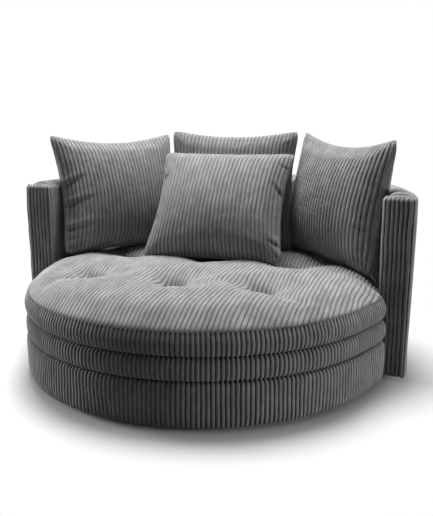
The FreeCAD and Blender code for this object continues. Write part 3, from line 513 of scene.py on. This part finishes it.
def turned_cloth(name, profile, seed, fade=None):
    """Wrap a section round the drum's axis in ribbed cloth, squeezed inside the wall."""
    wale = wale_columns(DRUM_WALES)
    angle = (wale / DRUM_WALES * 2 - 1) * math.pi
    rows = len(profile)
    radius = np.repeat(profile[:, :1], len(wale), 1)
    height = np.repeat(profile[:, 1:2], len(wale), 1)
    reach = np.clip((radius - (DRUM - SQUEEZE_DEPTH)) / SQUEEZE_DEPTH, 0, 1)
    radius = radius + (swell_at(angle) - TUCK * squeeze_at(angle))[None, :] * reach
    lengths = np.linalg.norm(np.diff(profile, axis=0), axis=1)
    down = np.concatenate([[0], np.cumsum(lengths)])
    u = np.repeat((wale * WALE)[None, :], rows, 0)
    v = np.repeat(down[:, None], len(wale), 1)
    plump = PLUMP * wander(u, v * PLUMP_SQUAT, PLUMP_SPREAD, seed + 7) * reach
    radius = radius + np.minimum(plump, 0)
    points = np.stack([radius * np.sin(angle)[None, :],
                       AXIS_Y - radius * np.cos(angle)[None, :], height], -1)
    phase = np.repeat(wale[None, :], rows, 0)
    seams = np.ones((rows, 1)) if fade is None else fade[:, None]
    panel = smooth((profile[:, 0] - PANEL_FLAT) / PANEL_RUN)[:, None]
    points, pile_and_painted_shade = ribbed(points, phase, u, v, True, 1.0, seams * panel, seed)
    # painted shade: a given fade also darkens those rows towards the groove colour
    pile_and_painted_shade = (1 - (1 - pile_and_painted_shade) * panel) * seams
    return cloth_piece(name, points, np.stack([u, v], -1), pile_and_painted_shade, around=True)


base_piece = turned_cloth("BaseTier", roll_profile(
    inner=DRUM - HEM_DEPTH, bottom=base_low[2], top=base_high[2] - HEM_GAP, belly=0.024,
    power=5.0), seed=11)
dress(base_piece, "chair", "corduroy", "base_cover", "base_foam_wrap")
deck_piece = turned_cloth("DeckTier", roll_profile(
    inner=HUB, bottom=deck_low[2], top=deck_high[2], belly=0.025, power=2.7), seed=23)
dress(deck_piece, "chair", "corduroy", "deck_cover", "deck_foam")

# Seat cushion's boxing

BOXING_FULL_Z = SEAM_Z - 0.038    # where the boxing bulges furthest
BOXING_BELLY, BOXING_BELLY_POWER = 0.025, 2.6
BOXING_ROLL_POWER = 1.3           # how it rolls over towards the seam
BOXING_FLAT = 0.09                # how far in its flat underside begins
LOWER_ROWS, UPPER_ROWS = 12, 13
SEAM_DROP = 0.003                 # the boxing ends this far below the seam
LAP_IN, LAP_DOWN = 0.005, 0.008   # its last row is turned in under the top
LAP_FADE_AND_PAINTED_SHADE = 0.85, 0.1, 0.0         # how its wales end there; the same shares darken its colour towards the groove colour, painted shade under the seam


def boxing_profile():
    """Up the section of the boxing, from the axis out below and up to the seam."""
    rows = [(HUB, seat_low[2]), (DRUM * 0.5, seat_low[2]), (DRUM - BOXING_FLAT, seat_low[2])]
    half = BOXING_FULL_Z - seat_low[2]
    for s in np.sin(np.linspace(-math.pi / 2, 0, LOWER_ROWS)):
        rows.append((DRUM - BOXING_BELLY * rounded(s, BOXING_BELLY_POWER),
                     BOXING_FULL_Z + half * s))
    for s in np.linspace(0, 1, UPPER_ROWS)[1:]:
        rows.append((DRUM - (DRUM - SEAM_RADIUS) * s ** BOXING_ROLL_POWER,
                     BOXING_FULL_Z + (SEAM_Z - SEAM_DROP - BOXING_FULL_Z) * s))
    rows.append((SEAM_RADIUS - LAP_IN, SEAM_Z - LAP_DOWN))
    return np.array(rows)


boxing = boxing_profile()
boxing_fade_and_painted_shade = np.ones(len(boxing))
boxing_fade_and_painted_shade[-3:] = LAP_FADE_AND_PAINTED_SHADE
boxing_piece = turned_cloth("SeatBoxing", boxing, seed=37, fade=boxing_fade_and_painted_shade)
dress(boxing_piece, "seat_cushion", "corduroy")

# Seat cushion's top, tufted

TUFT_SPACING_X, TUFT_SPACING_Y = 0.311, 0.328
TUFT_START_X, TUFT_START_Y = -0.020, -0.248
TUFT_NUDGES = ((0.006, -0.010), (0.006, -0.030), (-0.004, -0.006), (0.0, 0.0), (0.0, 0.0),
               (0.0, 0.008))
TUFT_DISH, DISH_POWER = 0.030, 1.5          # the wide dish round a tuft
TUFT_REACH = 0.135
TUFT_FOLDS = ((3, 1, 0.16), (5, 2, 0.10))   # folds round a dish: count, shift and size
TUFT_LEAN = 0.18                  # how much further a dish reaches towards the back
TUFT_CORE, TUFT_CORE_RADIUS = 0.054, 0.027  # the narrow pocket in its middle
TRAIL_X, TRAIL_Y = -0.83, 0.55    # which way the pocket trails
TRAIL_LENGTH = 2.3                # and how far, in its own radii
TUFT_HELD = 0.013                 # cloth this near a tuft is held in the simulation
TUFT_NEAR = 0.03                  # a button lies this near its tuft

SEAT_CELLS = 88
TOP_FREE_RUN = 0.10               # how far in from its seam the top moves freely
TOP_ROWS = 150
RIM_COLUMNS, RIM_ANGLE = 44, 0.24           # columns added where the disc's sides steepen
EDGE_POWER = 3.0
TOP_CREST = 0.65                  # below 1 the painted shade in the valleys narrows
PRESS_POWER = 6                   # how fast the press of the wall dies away inwards
TOP_SWELL = 0.9                   # the share of the boxing's bulge that the seam follows
SEAM_RUN, SEAM_SINK, SEAM_RIBS = 0.008, 0.0060, 0.25
SEAM_PAINTED_SHADOW = 0.005                 # how far the painted shadow along the seam reaches


def tuft_places():
    """The tufts, over the buttons that hold them, from the drum's axis."""
    points = np.array([v.co for v in frame["nodes"]["seat_tuft_buttons"].data.vertices])
    columns = sorted(set(np.round((points[:, 0] - TUFT_START_X) / TUFT_SPACING_X).astype(int)))
    places = []
    for row in (0, 1):
        for column in columns:
            x = column * TUFT_SPACING_X + TUFT_START_X
            y = row * TUFT_SPACING_Y + TUFT_START_Y
            near = points[np.hypot(points[:, 0] - x, points[:, 1] - AXIS_Y - y) < TUFT_NEAR]
            dx, dy = TUFT_NUDGES[len(places)]
            places.append((near[:, 0].mean() + dx, near[:, 1].mean() - AXIS_Y + dy))
    return places


TUFTS = tuft_places()


def crown(x, y):
    """Height of the seat's top before tufting, at places from the drum's axis."""
    r = np.hypot(x, y)
    dome = CROWN_Z - (CROWN_Z - SHOULDER_Z) * (r / SHOULDER_RADIUS) ** 2
    run = SEAM_RADIUS - SHOULDER_RADIUS
    s = np.clip((r - SHOULDER_RADIUS) / run, 0, 1)
    slope = -2 * (CROWN_Z - SHOULDER_Z) / SHOULDER_RADIUS * run
    fall = SEAM_Z - SHOULDER_Z
    edge = SHOULDER_Z + slope * s + (fall - slope) * s ** EDGE_POWER
    return np.where(r < SHOULDER_RADIUS, dome, edge)


def tufted(x, y):
    """Height of the tufted top: wide dishes, each with a pocket that trails back and left."""
    height = crown(x, y)
    for number, (tuft_x, tuft_y) in enumerate(TUFTS):
        dx = x - tuft_x
        dy = y - tuft_y
        angle = np.arctan2(dy, dx)
        folds = 1 + sum(size * np.cos(count * angle + shift * number)
                        for count, shift, size in TUFT_FOLDS)
        reach = TUFT_REACH * folds * (1 + TUFT_LEAN * np.sin(angle))
        height = height - TUFT_DISH * np.clip(1 - np.hypot(dx, dy) / reach, 0, 1) ** DISH_POWER
        trail = dx * TRAIL_X + dy * TRAIL_Y
        across = dx * TRAIL_Y - dy * TRAIL_X
        length = np.where(trail > 0, TRAIL_LENGTH, 1.0) * TUFT_CORE_RADIUS
        core = np.exp(-(trail / length) ** 2 - (across / TUFT_CORE_RADIUS) ** 2)
        height = height - TUFT_CORE * core
    return height


def disc(a, b):
    """The unit disc's place for a place in the square from -1 to 1."""
    return a * np.sqrt(1 - b * b / 2), b * np.sqrt(1 - a * a / 2)


def undisc(x, y):
    """The square's place for a place in the unit disc."""
    k = x * x - y * y
    root = 2 * math.sqrt(2)
    a = np.sqrt(np.maximum(2 + k + root * x, 0)) - np.sqrt(np.maximum(2 + k - root * x, 0))
    b = np.sqrt(np.maximum(2 - k + root * y, 0)) - np.sqrt(np.maximum(2 - k - root * y, 0))
    return np.clip(a / 2, -1, 1), np.clip(b / 2, -1, 1)


def seat_top_grid():
    """The top as a coarse grid, puffed between its tufts by a cloth simulation."""
    steps = np.linspace(-1, 1, SEAT_CELLS + 1)
    b, a = np.meshgrid(steps, steps, indexing="ij")
    x, y = disc(a, b)
    x = x * SEAM_RADIUS
    y = y * SEAM_RADIUS
    grid = np.stack([x, y + AXIS_Y, tufted(x, y)], -1)
    index = np.arange(a.size).reshape(a.shape)
    held = (np.abs(a) > 0.999) | (np.abs(b) > 0.999)
    for tuft_x, tuft_y in TUFTS:
        held |= np.hypot(x - tuft_x, y - tuft_y) < TUFT_HELD
    moved = simulate(grid.reshape(-1, 3), grid_quads(index), index[held], pressure=3.0,
                     frames=16, stretch=0.018)
    from_seam = (SEAM_RADIUS - np.hypot(x, y)) / TOP_FREE_RUN
    return settled(grid, moved.reshape(grid.shape), from_seam)


def seat_top():
    """The seat's top, its wales running from front to back."""
    half = int(SEAM_RADIUS / WALE)
    x = (wale_columns(2 * half) - half) * WALE
    rim = SEAM_RADIUS * np.cos(np.linspace(0, RIM_ANGLE, RIM_COLUMNS))
    rim = rim[rim > x.max()]
    x = np.clip(np.concatenate([-rim, x, rim[::-1]]), -SEAM_RADIUS, SEAM_RADIUS)
    steps = np.linspace(-1, 1, TOP_ROWS)
    reach = np.sqrt(np.maximum(SEAM_RADIUS ** 2 - x ** 2, 1e-10))
    y = steps[:, None] * reach[None, :]
    x = np.repeat(x[None, :], len(steps), 0)
    a, b = undisc(x / SEAM_RADIUS, y / SEAM_RADIUS)
    points = sample(seat_top_grid(), (b + 1) / 2 * SEAT_CELLS, (a + 1) / 2 * SEAT_CELLS)
    r = np.hypot(x, y)
    angle = np.arctan2(x, -y)
    pressed = SEAM_TUCK * squeeze_at(angle) - TOP_SWELL * swell_at(angle)
    pressed = pressed / SEAM_RADIUS * (r / SEAM_RADIUS) ** PRESS_POWER
    points[..., 0] *= 1 - pressed
    points[..., 1] -= pressed * y
    edge = smooth((SEAM_RADIUS - r) / SEAM_RUN)
    points[..., 2] -= SEAM_SINK * (1 - edge)
    points, pile_and_painted_shade = ribbed(points, x / WALE, x, y, False, 1.0,
                          SEAM_RIBS + (1 - SEAM_RIBS) * edge, 61)
    # painted shade: narrower dark valleys, and a painted shadow line along the seam in the
    # groove colour
    pile_and_painted_shade = pile_and_painted_shade ** TOP_CREST * smooth((SEAM_RADIUS - r) / SEAM_PAINTED_SHADOW)
    return cloth_piece("SeatTop", points, np.stack([x, y], -1), pile_and_painted_shade)


seat_top_piece = dress(seat_top(), "seat_cushion", "corduroy", "seat_cushion_cover",
                       "seat_cushion_wadding", "seat_cushion_foam")

# Wall: one ribbed skin round both faces and the ends, and a strip along the top

WALL_CORNER = 0.013
WALL_FLARE = 0.005                # how far the padding swells out towards the top
WALL_SEAM_Z = wall_high[2] - 0.013
WALL_SLACK_SPREAD = 0.30
HEM_ROUND = 0.014
TOP_ROUND, TOP_TURN = 0.015, 1.35           # and how far round the cloth turns, in radians
SKIN_LAP = 0.002                  # how far the skin's last rows run in past the rounds
SKIN_MARGIN = 0.03                # the even rows keep this far from hem and seam
SKIN_ROWS, HEM_ROWS, TURN_ROWS = 22, 7, 8
SKIN_FADE = 0.8, 0.3              # how the skin's wales end at the top seam
STRIP_LAP = 0.0015                # how far the top strip reaches over the skin's edge
STRIP_CORNER = 0.012
STRIP_ROWS = 17
STRIP_POWER, STRIP_CROWN_POWER = 2.6, 0.8   # the shape of its crown
STRIP_END_RUN, STRIP_END_POWER = 0.030, 0.6           # the crown dies away near its ends
STRIP_RIBS, STRIP_SEAM_RIBS, STRIP_SEAM_RUN = 0.8, 0.25, 0.12  # groove depth off and at a seam


def wall_outline():
    """Plan of the wall's skin, anticlockwise from the left end, evenly spaced."""
    pieces = []

    def arc(radius, start, stop):
        angle = np.linspace(start, stop, 900)
        pieces.append(np.stack([radius * np.sin(angle), radius * np.cos(angle)], -1))

    def corner(side, outer):
        centre_radius = WALL_OUT - WALL_CORNER if outer else WALL_IN + WALL_CORNER
        angle = side * (WALL_EDGE - WALL_CORNER / centre_radius)
        radial = np.array([math.sin(angle), math.cos(angle)])
        along = np.array([math.cos(angle), -math.sin(angle)]) * side
        outward = radial if outer else -radial
        first, second = (outward, along)
        if (side > 0) != outer:
            first, second = along, outward
        pieces.append(np.array([
            radial * centre_radius + WALL_CORNER * (first * math.cos(t) + second * math.sin(t))
            for t in np.linspace(0, math.pi / 2, 9)[1:-1]]))

    lean_out = WALL_EDGE - WALL_CORNER / (WALL_OUT - WALL_CORNER)
    lean_in = WALL_EDGE - WALL_CORNER / (WALL_IN + WALL_CORNER)
    arc(WALL_OUT, -lean_out, lean_out)
    corner(1, True)
    corner(1, False)
    arc(WALL_IN, lean_in, -lean_in)
    corner(-1, False)
    corner(-1, True)
    line = np.concatenate(pieces + [pieces[0][:1]])
    length = np.concatenate([[0], np.cumsum(np.linalg.norm(np.diff(line, axis=0), axis=1))])
    wales = int(round(length[-1] / WALE))
    wale = wale_columns(wales)
    places = wale / wales * length[-1]
    plan = np.stack([np.interp(places, length, line[:, k]) for k in (0, 1)], -1)
    tangent = np.roll(plan, -2, 0) - np.roll(plan, 2, 0)
    outward = np.stack([-tangent[:, 1], tangent[:, 0]], -1)
    outward /= np.linalg.norm(outward, axis=1, keepdims=True)
    return plan, outward, wale


def wall_skin():
    """The wall's skin, its wales upright, rounded in at its hem and its top seam."""
    plan, outward, wale = wall_outline()
    bottom = wall_low[2]
    seam = WALL_SEAM_Z
    rows = [(HEM_ROUND + SKIN_LAP, bottom + 0.0005)]
    rows += [(HEM_ROUND * (1 - math.sin(t)), bottom + HEM_ROUND * (1 - math.cos(t)))
             for t in np.linspace(0, math.pi / 2, HEM_ROWS)]
    rows += [(0.0, z)
             for z in np.linspace(bottom + SKIN_MARGIN, seam - SKIN_MARGIN, SKIN_ROWS)]
    rows += [(TOP_ROUND * (1 - math.cos(t)), seam - TOP_ROUND * (1 - math.sin(t)))
             for t in np.linspace(0, TOP_TURN, TURN_ROWS)]
    rows.append((TOP_ROUND + SKIN_LAP, seam - 2 * SKIN_LAP))
    rows = np.array(rows)
    inset = rows[:, :1]
    z = np.repeat(rows[:, 1:], len(wale), 1)
    u = np.repeat((wale * WALE)[None, :], len(rows), 0)
    soft = PLUMP * np.minimum(wander(u, z, WALL_SLACK_SPREAD, 71), 0)
    soft = soft + WALL_FLARE * smooth((z - bottom) / (seam - bottom))
    x = plan[None, :, 0] - outward[None, :, 0] * inset + outward[None, :, 0] * soft
    y = plan[None, :, 1] - outward[None, :, 1] * inset + AXIS_Y + outward[None, :, 1] * soft
    fade = np.ones(len(rows))
    fade[-2:] = SKIN_FADE
    phase = np.repeat(wale[None, :], len(rows), 0)
    points, pile_and_painted_shade = ribbed(np.stack([x, y, z], -1), phase, u, z, True, -1.0, fade[:, None], 73)
    return cloth_piece("WallCover", points, np.stack([u, z], -1), pile_and_painted_shade, around=True, flip=True)


def wall_top():
    """The crowned strip along the wall's top, its wales across it."""
    middle = (WALL_OUT + WALL_IN) / 2
    half = WALL_THICK / 2 - TOP_ROUND + STRIP_LAP
    seam = WALL_SEAM_Z - STRIP_LAP
    edge_angle = WALL_EDGE - (TOP_ROUND - STRIP_LAP) / middle
    wales = int(round(2 * edge_angle * middle / WALE))
    wale = np.append(wale_columns(wales), wales)
    angle = (wale / wales * 2 - 1) * edge_angle
    steps = np.sin(np.linspace(-math.pi / 2, math.pi / 2, STRIP_ROWS))
    from_end = (edge_angle - np.abs(angle)) * middle
    missing = np.maximum(STRIP_CORNER - from_end, 0)
    inset = STRIP_CORNER - np.sqrt(np.maximum(STRIP_CORNER ** 2 - missing ** 2, 0))
    radius = middle + steps[:, None] * (half - inset)[None, :]
    crown_shape = np.clip(1 - np.abs(steps[:, None]) ** STRIP_POWER, 0, 1) ** STRIP_CROWN_POWER
    ends = smooth(from_end / STRIP_END_RUN)[None, :] ** STRIP_END_POWER
    lift = (wall_high[2] - seam) * crown_shape * ends
    x = radius * np.sin(angle)[None, :]
    y = AXIS_Y + radius * np.cos(angle)[None, :]
    u = np.repeat((wale * WALE)[None, :], len(steps), 0)
    v = np.repeat((steps * half)[:, None], len(wale), 1)
    off_seam = smooth((1 - np.abs(steps)) / STRIP_SEAM_RUN)
    fade = STRIP_SEAM_RIBS + (1 - STRIP_SEAM_RIBS) * off_seam
    phase = np.repeat(wale[None, :], len(steps), 0)
    points, pile_and_painted_shade = ribbed(np.stack([x, y, seam + lift], -1), phase, u, v, False, 1.0,
                          fade[:, None] * STRIP_RIBS, 79)
    return cloth_piece("WallTop", points, np.stack([u, v], -1), pile_and_painted_shade)


wall_piece = dress(wall_skin(), "chair", "corduroy", "back_cover", "back_inner_foam",
                   "back_outer_wadding", "back_end_pads")
wall_top_piece = dress(wall_top(), "chair", "corduroy", "back_top_foam")

# Scatter cushions

SCATTER_WIDTH = 0.549
SCATTER_HEIGHT = 0.489
SCATTER_WAIST = 0.075             # how far an edge draws in between its ears
SCATTER_SAG = 0.14                # how much fuller the lower half is
SCATTER_WALES = 34
SCATTER_CELLS = 44
SCATTER_ROWS = 142
SWELL_POWER = 0.66                # lower for a flatter face with a rounder edge
EAR_SHARPNESS = 15                # lower for rounder ears
EAR_START = 0.86                  # rounding begins here, 1 being the edge
EAR_BODY, EAR_BODY_RUN = 0.006, 0.07        # stuffing right out to the seam
JITTER = 0.0006                   # unevenness that the simulation starts from
FREE_RUN = 0.30                   # how far in from its seam a face moves freely
EVEN_ROWS = 0.6                   # the share of even row spacing; the rest crowds the seams
FOLD_DEPTH = 0.8
FOLD_LIP = 0.0034                 # the sharp side of a crease
FOLD_EASE = 0.020                 # the side that eases away
FOLD_RIDGE, RIDGE_OFF, RIDGE_WIDTH = 0.4, 0.017, 0.010         # the swelling above it
FOLD_FRONT, FOLD_TAIL = 0.7, 0.4            # how gently a crease ends inside and at its seam
FOLD_START = 0.6                  # how far back past its start a crease reaches, in lengths
FOLD_SEAM_RUN = 0.02              # creases die away this near a seam
RIM_RIBS, INNER_RIBS, RIBS_RUN = 0.30, 0.48, 0.010             # groove depth at and off a seam
SCALLOP = 0.008                   # how far each groove draws the seam in
FULL, PRESSED, SIDE = 0.092, 0.044, 0.076                      # how far faces bulge


def turn_about(axis, degrees):
    """A turn about one of the row's axes: 0 sideways, 1 backwards, 2 up."""
    angle = math.radians(degrees)
    first, second = ((1, 2), (2, 0), (0, 1))[axis]
    turned = np.eye(3)
    turned[first, first] = turned[second, second] = math.cos(angle)
    turned[first, second] = -math.sin(angle)
    turned[second, first] = math.sin(angle)
    return turned


def scatter_frame(name, lean, turn, tip):
    """Where a cushion stands: its zip marks the middle of its lower edge."""
    low, high = corners(name + "_cushion_zip")
    axes = turn_about(2, turn) @ turn_about(0, -lean) @ turn_about(1, tip)
    rise = SCATTER_HEIGHT / 2 * (1 - SCATTER_WAIST)
    return axes, (low + high) / 2 + axes @ np.array([0, 0, rise])


def scatter_face(side, depth, dip, waists):
    """One face of a stuffed square as a grid, in the cushion's own axes.

    dip is the top edge's waist; waists are those of the left and right edges.
    """
    steps = np.linspace(-1, 1, SCATTER_CELLS + 1)
    v, u = np.meshgrid(steps, steps, indexing="ij")
    side_waist = (waists[0] * (1 - u) + waists[1] * (1 + u)) / 2
    edge_waist = (SCATTER_WAIST * (1 - v) + dip * (1 + v)) / 2
    x = u * SCATTER_WIDTH / 2 * (1 - side_waist * (1 - v * v))
    z = v * SCATTER_HEIGHT / 2 * (1 - edge_waist * (1 - u * u))
    full = np.maximum((1 - u * u) * (1 - v * v), 0) ** SWELL_POWER * (1 - SCATTER_SAG * v)
    body = EAR_BODY * np.sqrt(smooth((1 - np.maximum(np.abs(u), np.abs(v))) / EAR_BODY_RUN))
    return np.stack([x, side * (depth * full + body), z], -1)


def puffed(faces, seed):
    """Both faces of a cushion, sewn together and puffed by a cloth simulation."""
    shape = faces[0].shape[:2]
    front, back, used, quads = sewn_pair(shape)
    points = np.concatenate([face.reshape(-1, 3) for face in faces])[used]
    rng = np.random.default_rng(seed)
    start = points + rng.normal(0, JITTER, points.shape)
    pins = front[[0, 0, -1, -1], [0, -1, 0, -1]]
    moved = simulate(start, quads, pins, pressure=3.5, frames=18, stretch=0.012)
    along, across = np.meshgrid(*[np.abs(np.linspace(-1, 1, n)) for n in shape], indexing="ij")
    from_seam = (1 - np.maximum(along, across)) / FREE_RUN
    return [settled(face, moved[grid], from_seam) for face, grid in zip(faces, (front, back))]


def pucker(u, v, folds):
    """Depth of creases that run in from a seam: sharp above, easing away below."""
    depth = np.zeros(np.broadcast(u, v).shape)
    for u0, v0, u1, v1, size in folds:
        run_x = (u1 - u0) * SCATTER_WIDTH / 2
        run_z = (v1 - v0) * SCATTER_HEIGHT / 2
        length = math.hypot(run_x, run_z)
        dx = (u - u0) * SCATTER_WIDTH / 2
        dz = (v - v0) * SCATTER_HEIGHT / 2
        along = (dx * run_x + dz * run_z) / length ** 2
        off = (dz * run_x - dx * run_z) / length * math.copysign(1, run_x)
        reach = smooth((1 - along) / FOLD_FRONT) * smooth((along + FOLD_START) / FOLD_TAIL)
        above = np.exp(-(off / FOLD_LIP) ** 2)
        below = np.exp(np.minimum(off, 0) / FOLD_EASE)
        ridge = FOLD_RIDGE * np.exp(-((off - RIDGE_OFF) / RIDGE_WIDTH) ** 2)
        depth += FOLD_DEPTH * size * reach * (np.where(off > 0, above, below) - ridge)
    return depth


def scatter_cushion(name, bulges, dip, waists, stand, seed, folds):
    """A stuffed square. bulges are the front's and back's; stand is lean, turn and tip in
    degrees; each fold runs from one place to another, as shares of half the face, with a
    depth."""
    axes, centre = scatter_frame(name, *stand)
    faces = [scatter_face(-1, bulges[0], dip, waists), scatter_face(1, bulges[1], dip, waists)]
    faces = puffed(faces, seed)
    wale = np.append(wale_columns(SCATTER_WALES), SCATTER_WALES)
    columns = wale / SCATTER_WALES * SCATTER_CELLS
    steps = np.linspace(0, 1, SCATTER_ROWS)
    crowded = (1 - np.cos(math.pi * steps)) / 2
    rows = (EVEN_ROWS * steps + (1 - EVEN_ROWS) * crowded) * SCATTER_CELLS
    u = columns[None, :] / SCATTER_CELLS * 2 - 1
    v = rows[:, None] / SCATTER_CELLS * 2 - 1
    across = u * SCATTER_WIDTH / 2 + 0 * v
    along = v * SCATTER_HEIGHT / 2 + 0 * u
    seam = np.minimum((1 - np.abs(u)) * SCATTER_WIDTH / 2, (1 - np.abs(v)) * SCATTER_HEIGHT / 2)
    reach = np.maximum(np.abs(u), np.abs(v))
    blunt = (np.abs(u) ** EAR_SHARPNESS + np.abs(v) ** EAR_SHARPNESS) ** (1 / EAR_SHARPNESS)
    rounding = 1 + (reach / blunt - 1) * smooth((reach - EAR_START) / (1 - EAR_START))
    phase = np.repeat(wale[None, :], len(rows), 0)
    pinch = 1 - SCALLOP * (1 - wale_height(phase))[..., None]
    fade = RIM_RIBS + INNER_RIBS * smooth(seam / RIBS_RUN)
    edge = seam <= 1e-9
    grids = []
    piles_and_painted_shade = []
    cloths = []
    for number, face in enumerate(faces):
        outward = 1.0 if number == 0 else -1.0
        points = resample(face, rows, columns) * rounding[..., None]
        normal = normals_of(points, False) * outward
        depth = pucker(u, v, folds if number == 0 else ())
        points = points - normal * (depth * smooth(seam / FOLD_SEAM_RUN))[..., None]
        ribs, pile_and_painted_shade = ribbed(points, phase, across, along, False, outward, fade, seed + number)
        ribs[edge] = (points * pinch)[edge]
        grids.append(ribs.reshape(-1, 3))
        piles_and_painted_shade.append(pile_and_painted_shade.reshape(-1))
        cloths.append(np.stack([across + number, along], -1).reshape(-1, 2))
    used, quads = sewn_pair(phase.shape)[2:]
    piece = cloth_mesh(name.capitalize() + "Cushion",
                       np.concatenate(grids)[used] @ axes.T + centre, quads,
                       np.concatenate(cloths)[used], np.concatenate(piles_and_painted_shade)[used])
    body = name + "_cushion"
    dress(piece, body, "scatter_corduroy", body + "_cover", body + "_filling")


scatter_cushion("front", bulges=(FULL, PRESSED), dip=0.045, waists=(0.075, 0.095),
                stand=(37, 3, 0), seed=101,
                folds=((1, 0.12, 0.76, 0.36, 0.008), (1, 0.62, 0.80, 0.70, 0.004),
                       (1, -0.72, 0.74, -0.68, 0.007), (1, -0.96, 0.78, -0.72, 0.007),
                       (-1, 0.40, -0.82, 0.46, 0.005), (-1, -0.38, -0.84, -0.32, 0.004)))
scatter_cushion("back", bulges=(PRESSED, FULL), dip=0.11, waists=(0.075, 0.075),
                stand=(10, 0, 0), seed=131, folds=((1, 0.5, 0.84, 0.55, 0.004),))
scatter_cushion("left", bulges=(SIDE, SIDE), dip=0.16, waists=(0.085, 0.075),
                stand=(16, 50, 0), seed=151,
                folds=((-1, 0.10, -0.56, 0.31, 0.0085), (-1, -0.22, -0.44, -0.08, 0.0085),
                       (-1, -0.60, -0.42, -0.53, 0.0085), (-1, -0.76, -0.60, -0.70, 0.005),
                       (-1, -0.92, -0.66, -0.84, 0.006)))
scatter_cushion("right", bulges=(SIDE, SIDE), dip=0.19, waists=(0.075, 0.02),
                stand=(9, -44, 2), seed=171,
                folds=((1, -0.30, 0.62, -0.34, 0.005), (1, -0.80, 0.66, -0.74, 0.007),
                       (1, 0.30, 0.80, 0.36, 0.003)))

# Surroundings

FLOOR_RADIUS = 14
FLOOR_DARKER = (0.85, 0.845, 0.835)
FLOOR_BOUNCE = (0.34, 0.34, 0.335, 1)       # what the floor throws back up at the object
FLOOR_FADE = (0.66, 1.18)         # the floor thins out to the white backdrop between these


def seen_rays(tree):
    """1 for rays that show the surroundings: from the camera, mirrored or passed through."""
    path = tree.nodes.new("ShaderNodeLightPath")
    total = path.outputs["Is Camera Ray"]
    for name in ("Is Glossy Ray", "Is Transmission Ray"):
        add = tree.nodes.new("ShaderNodeMath")
        add.operation = "ADD"
        add.use_clamp = True
        link(tree, total, add.inputs[0])
        link(tree, path.outputs[name], add.inputs[1])
        total = add.outputs["Value"]
    return total


def floor():
    """A plain pale floor. It throws less light back up at the object than it shows."""
    bpy.ops.mesh.primitive_circle_add(vertices=128, radius=FLOOR_RADIUS, fill_type="NGON",
                                      location=(0, 0, 0))
    ground = bpy.context.object
    ground.name = "Floor"
    material, tree, shader = new_material("PaleFloor")
    place = tree.nodes.new("ShaderNodeTexCoord").outputs["Object"]
    tone = ramp(tree, noise(tree, place, scale=3, detail=2), 0.3, 0.7, FLOOR_DARKER,
                FLOOR_COLOUR)
    link(tree, tone, shader.inputs["Base Color"])
    shader.inputs["Roughness"].default_value = 0.85
    shader.inputs["Specular IOR Level"].default_value = 0.1
    dull = tree.nodes.new("ShaderNodeBsdfDiffuse")
    dull.inputs["Color"].default_value = FLOOR_BOUNCE
    distance = tree.nodes.new("ShaderNodeVectorMath")
    distance.operation = "LENGTH"
    link(tree, place, distance.inputs[0])
    fade = tree.nodes.new("ShaderNodeMapRange")
    fade.inputs["From Min"].default_value, fade.inputs["From Max"].default_value = FLOOR_FADE
    link(tree, distance.outputs["Value"], fade.inputs["Value"])
    clear = tree.nodes.new("ShaderNodeBsdfTransparent")
    surface = mixed(tree, seen_rays(tree), dull.outputs["BSDF"], shader.outputs["BSDF"])
    surface = mixed(tree, fade.outputs["Result"], surface, clear.outputs["BSDF"])
    link(tree, surface, tree.nodes["Material Output"].inputs["Surface"])
    ground.data.materials.append(material)


def world_light(strength):
    """A faint even light, behind it a white backdrop."""
    world = bpy.data.worlds.new("Studio")
    bpy.context.scene.world = world
    world.use_nodes = True
    tree = world.node_tree
    faint = tree.nodes["Background"]
    white = tree.nodes.new("ShaderNodeBackground")
    for background, level in ((faint, strength), (white, 1.0)):
        background.inputs["Color"].default_value = (1, 1, 1, 1)
        background.inputs["Strength"].default_value = level
    surface = mixed(tree, seen_rays(tree), faint.outputs["Background"],
                    white.outputs["Background"])
    link(tree, surface, tree.nodes["World Output"].inputs["Surface"])


def turned_to(direction):
    """The turn that points a lamp or camera along a direction."""
    return Vector(direction).to_track_quat("-Z", "Y")


def area_light(name, place, aim, size, power):
    """A round soft lamp."""
    data = bpy.data.lights.new(name, "AREA")
    data.shape = "DISK"
    data.size = size
    data.energy = power
    lamp = bpy.data.objects.new(name, data)
    lamp.location = place
    lamp.rotation_mode = "QUATERNION"
    lamp.rotation_quaternion = turned_to(Vector(aim) - Vector(place))
    bpy.context.scene.collection.objects.link(lamp)


floor()
world_light(0.07)
area_light("Overhead", place=(-0.35, 0.76, 3.15), aim=(0, 0.1, 0.3), size=2.2, power=204)
area_light("LeftSide", place=(-3.1, -0.20, 0.45), aim=(0, 0, 0.35), size=0.9, power=90)
area_light("RightSide", place=(3.2, -0.16, 0.35), aim=(0, 0, 0.3), size=0.7, power=40)

CAMERA_PLACE = (0.790, -2.253, 0.861)
CAMERA_VIEW = (-0.3139, 0.9277, -0.2025)
PHOTO_HEIGHT = 516                # pixels
FOCAL_PIXELS = 650
SENSOR = 36                       # millimetres
camera_data = bpy.data.cameras.new("Camera")
camera_data.sensor_width = SENSOR
camera_data.lens = FOCAL_PIXELS / PHOTO_HEIGHT * SENSOR
camera = bpy.data.objects.new("Camera", camera_data)
camera.location = CAMERA_PLACE
camera.rotation_mode = "QUATERNION"
camera.rotation_quaternion = turned_to(CAMERA_VIEW)
bpy.context.scene.collection.objects.link(camera)
bpy.context.scene.camera = camera
bpy.context.scene.view_settings.view_transform = "Standard"
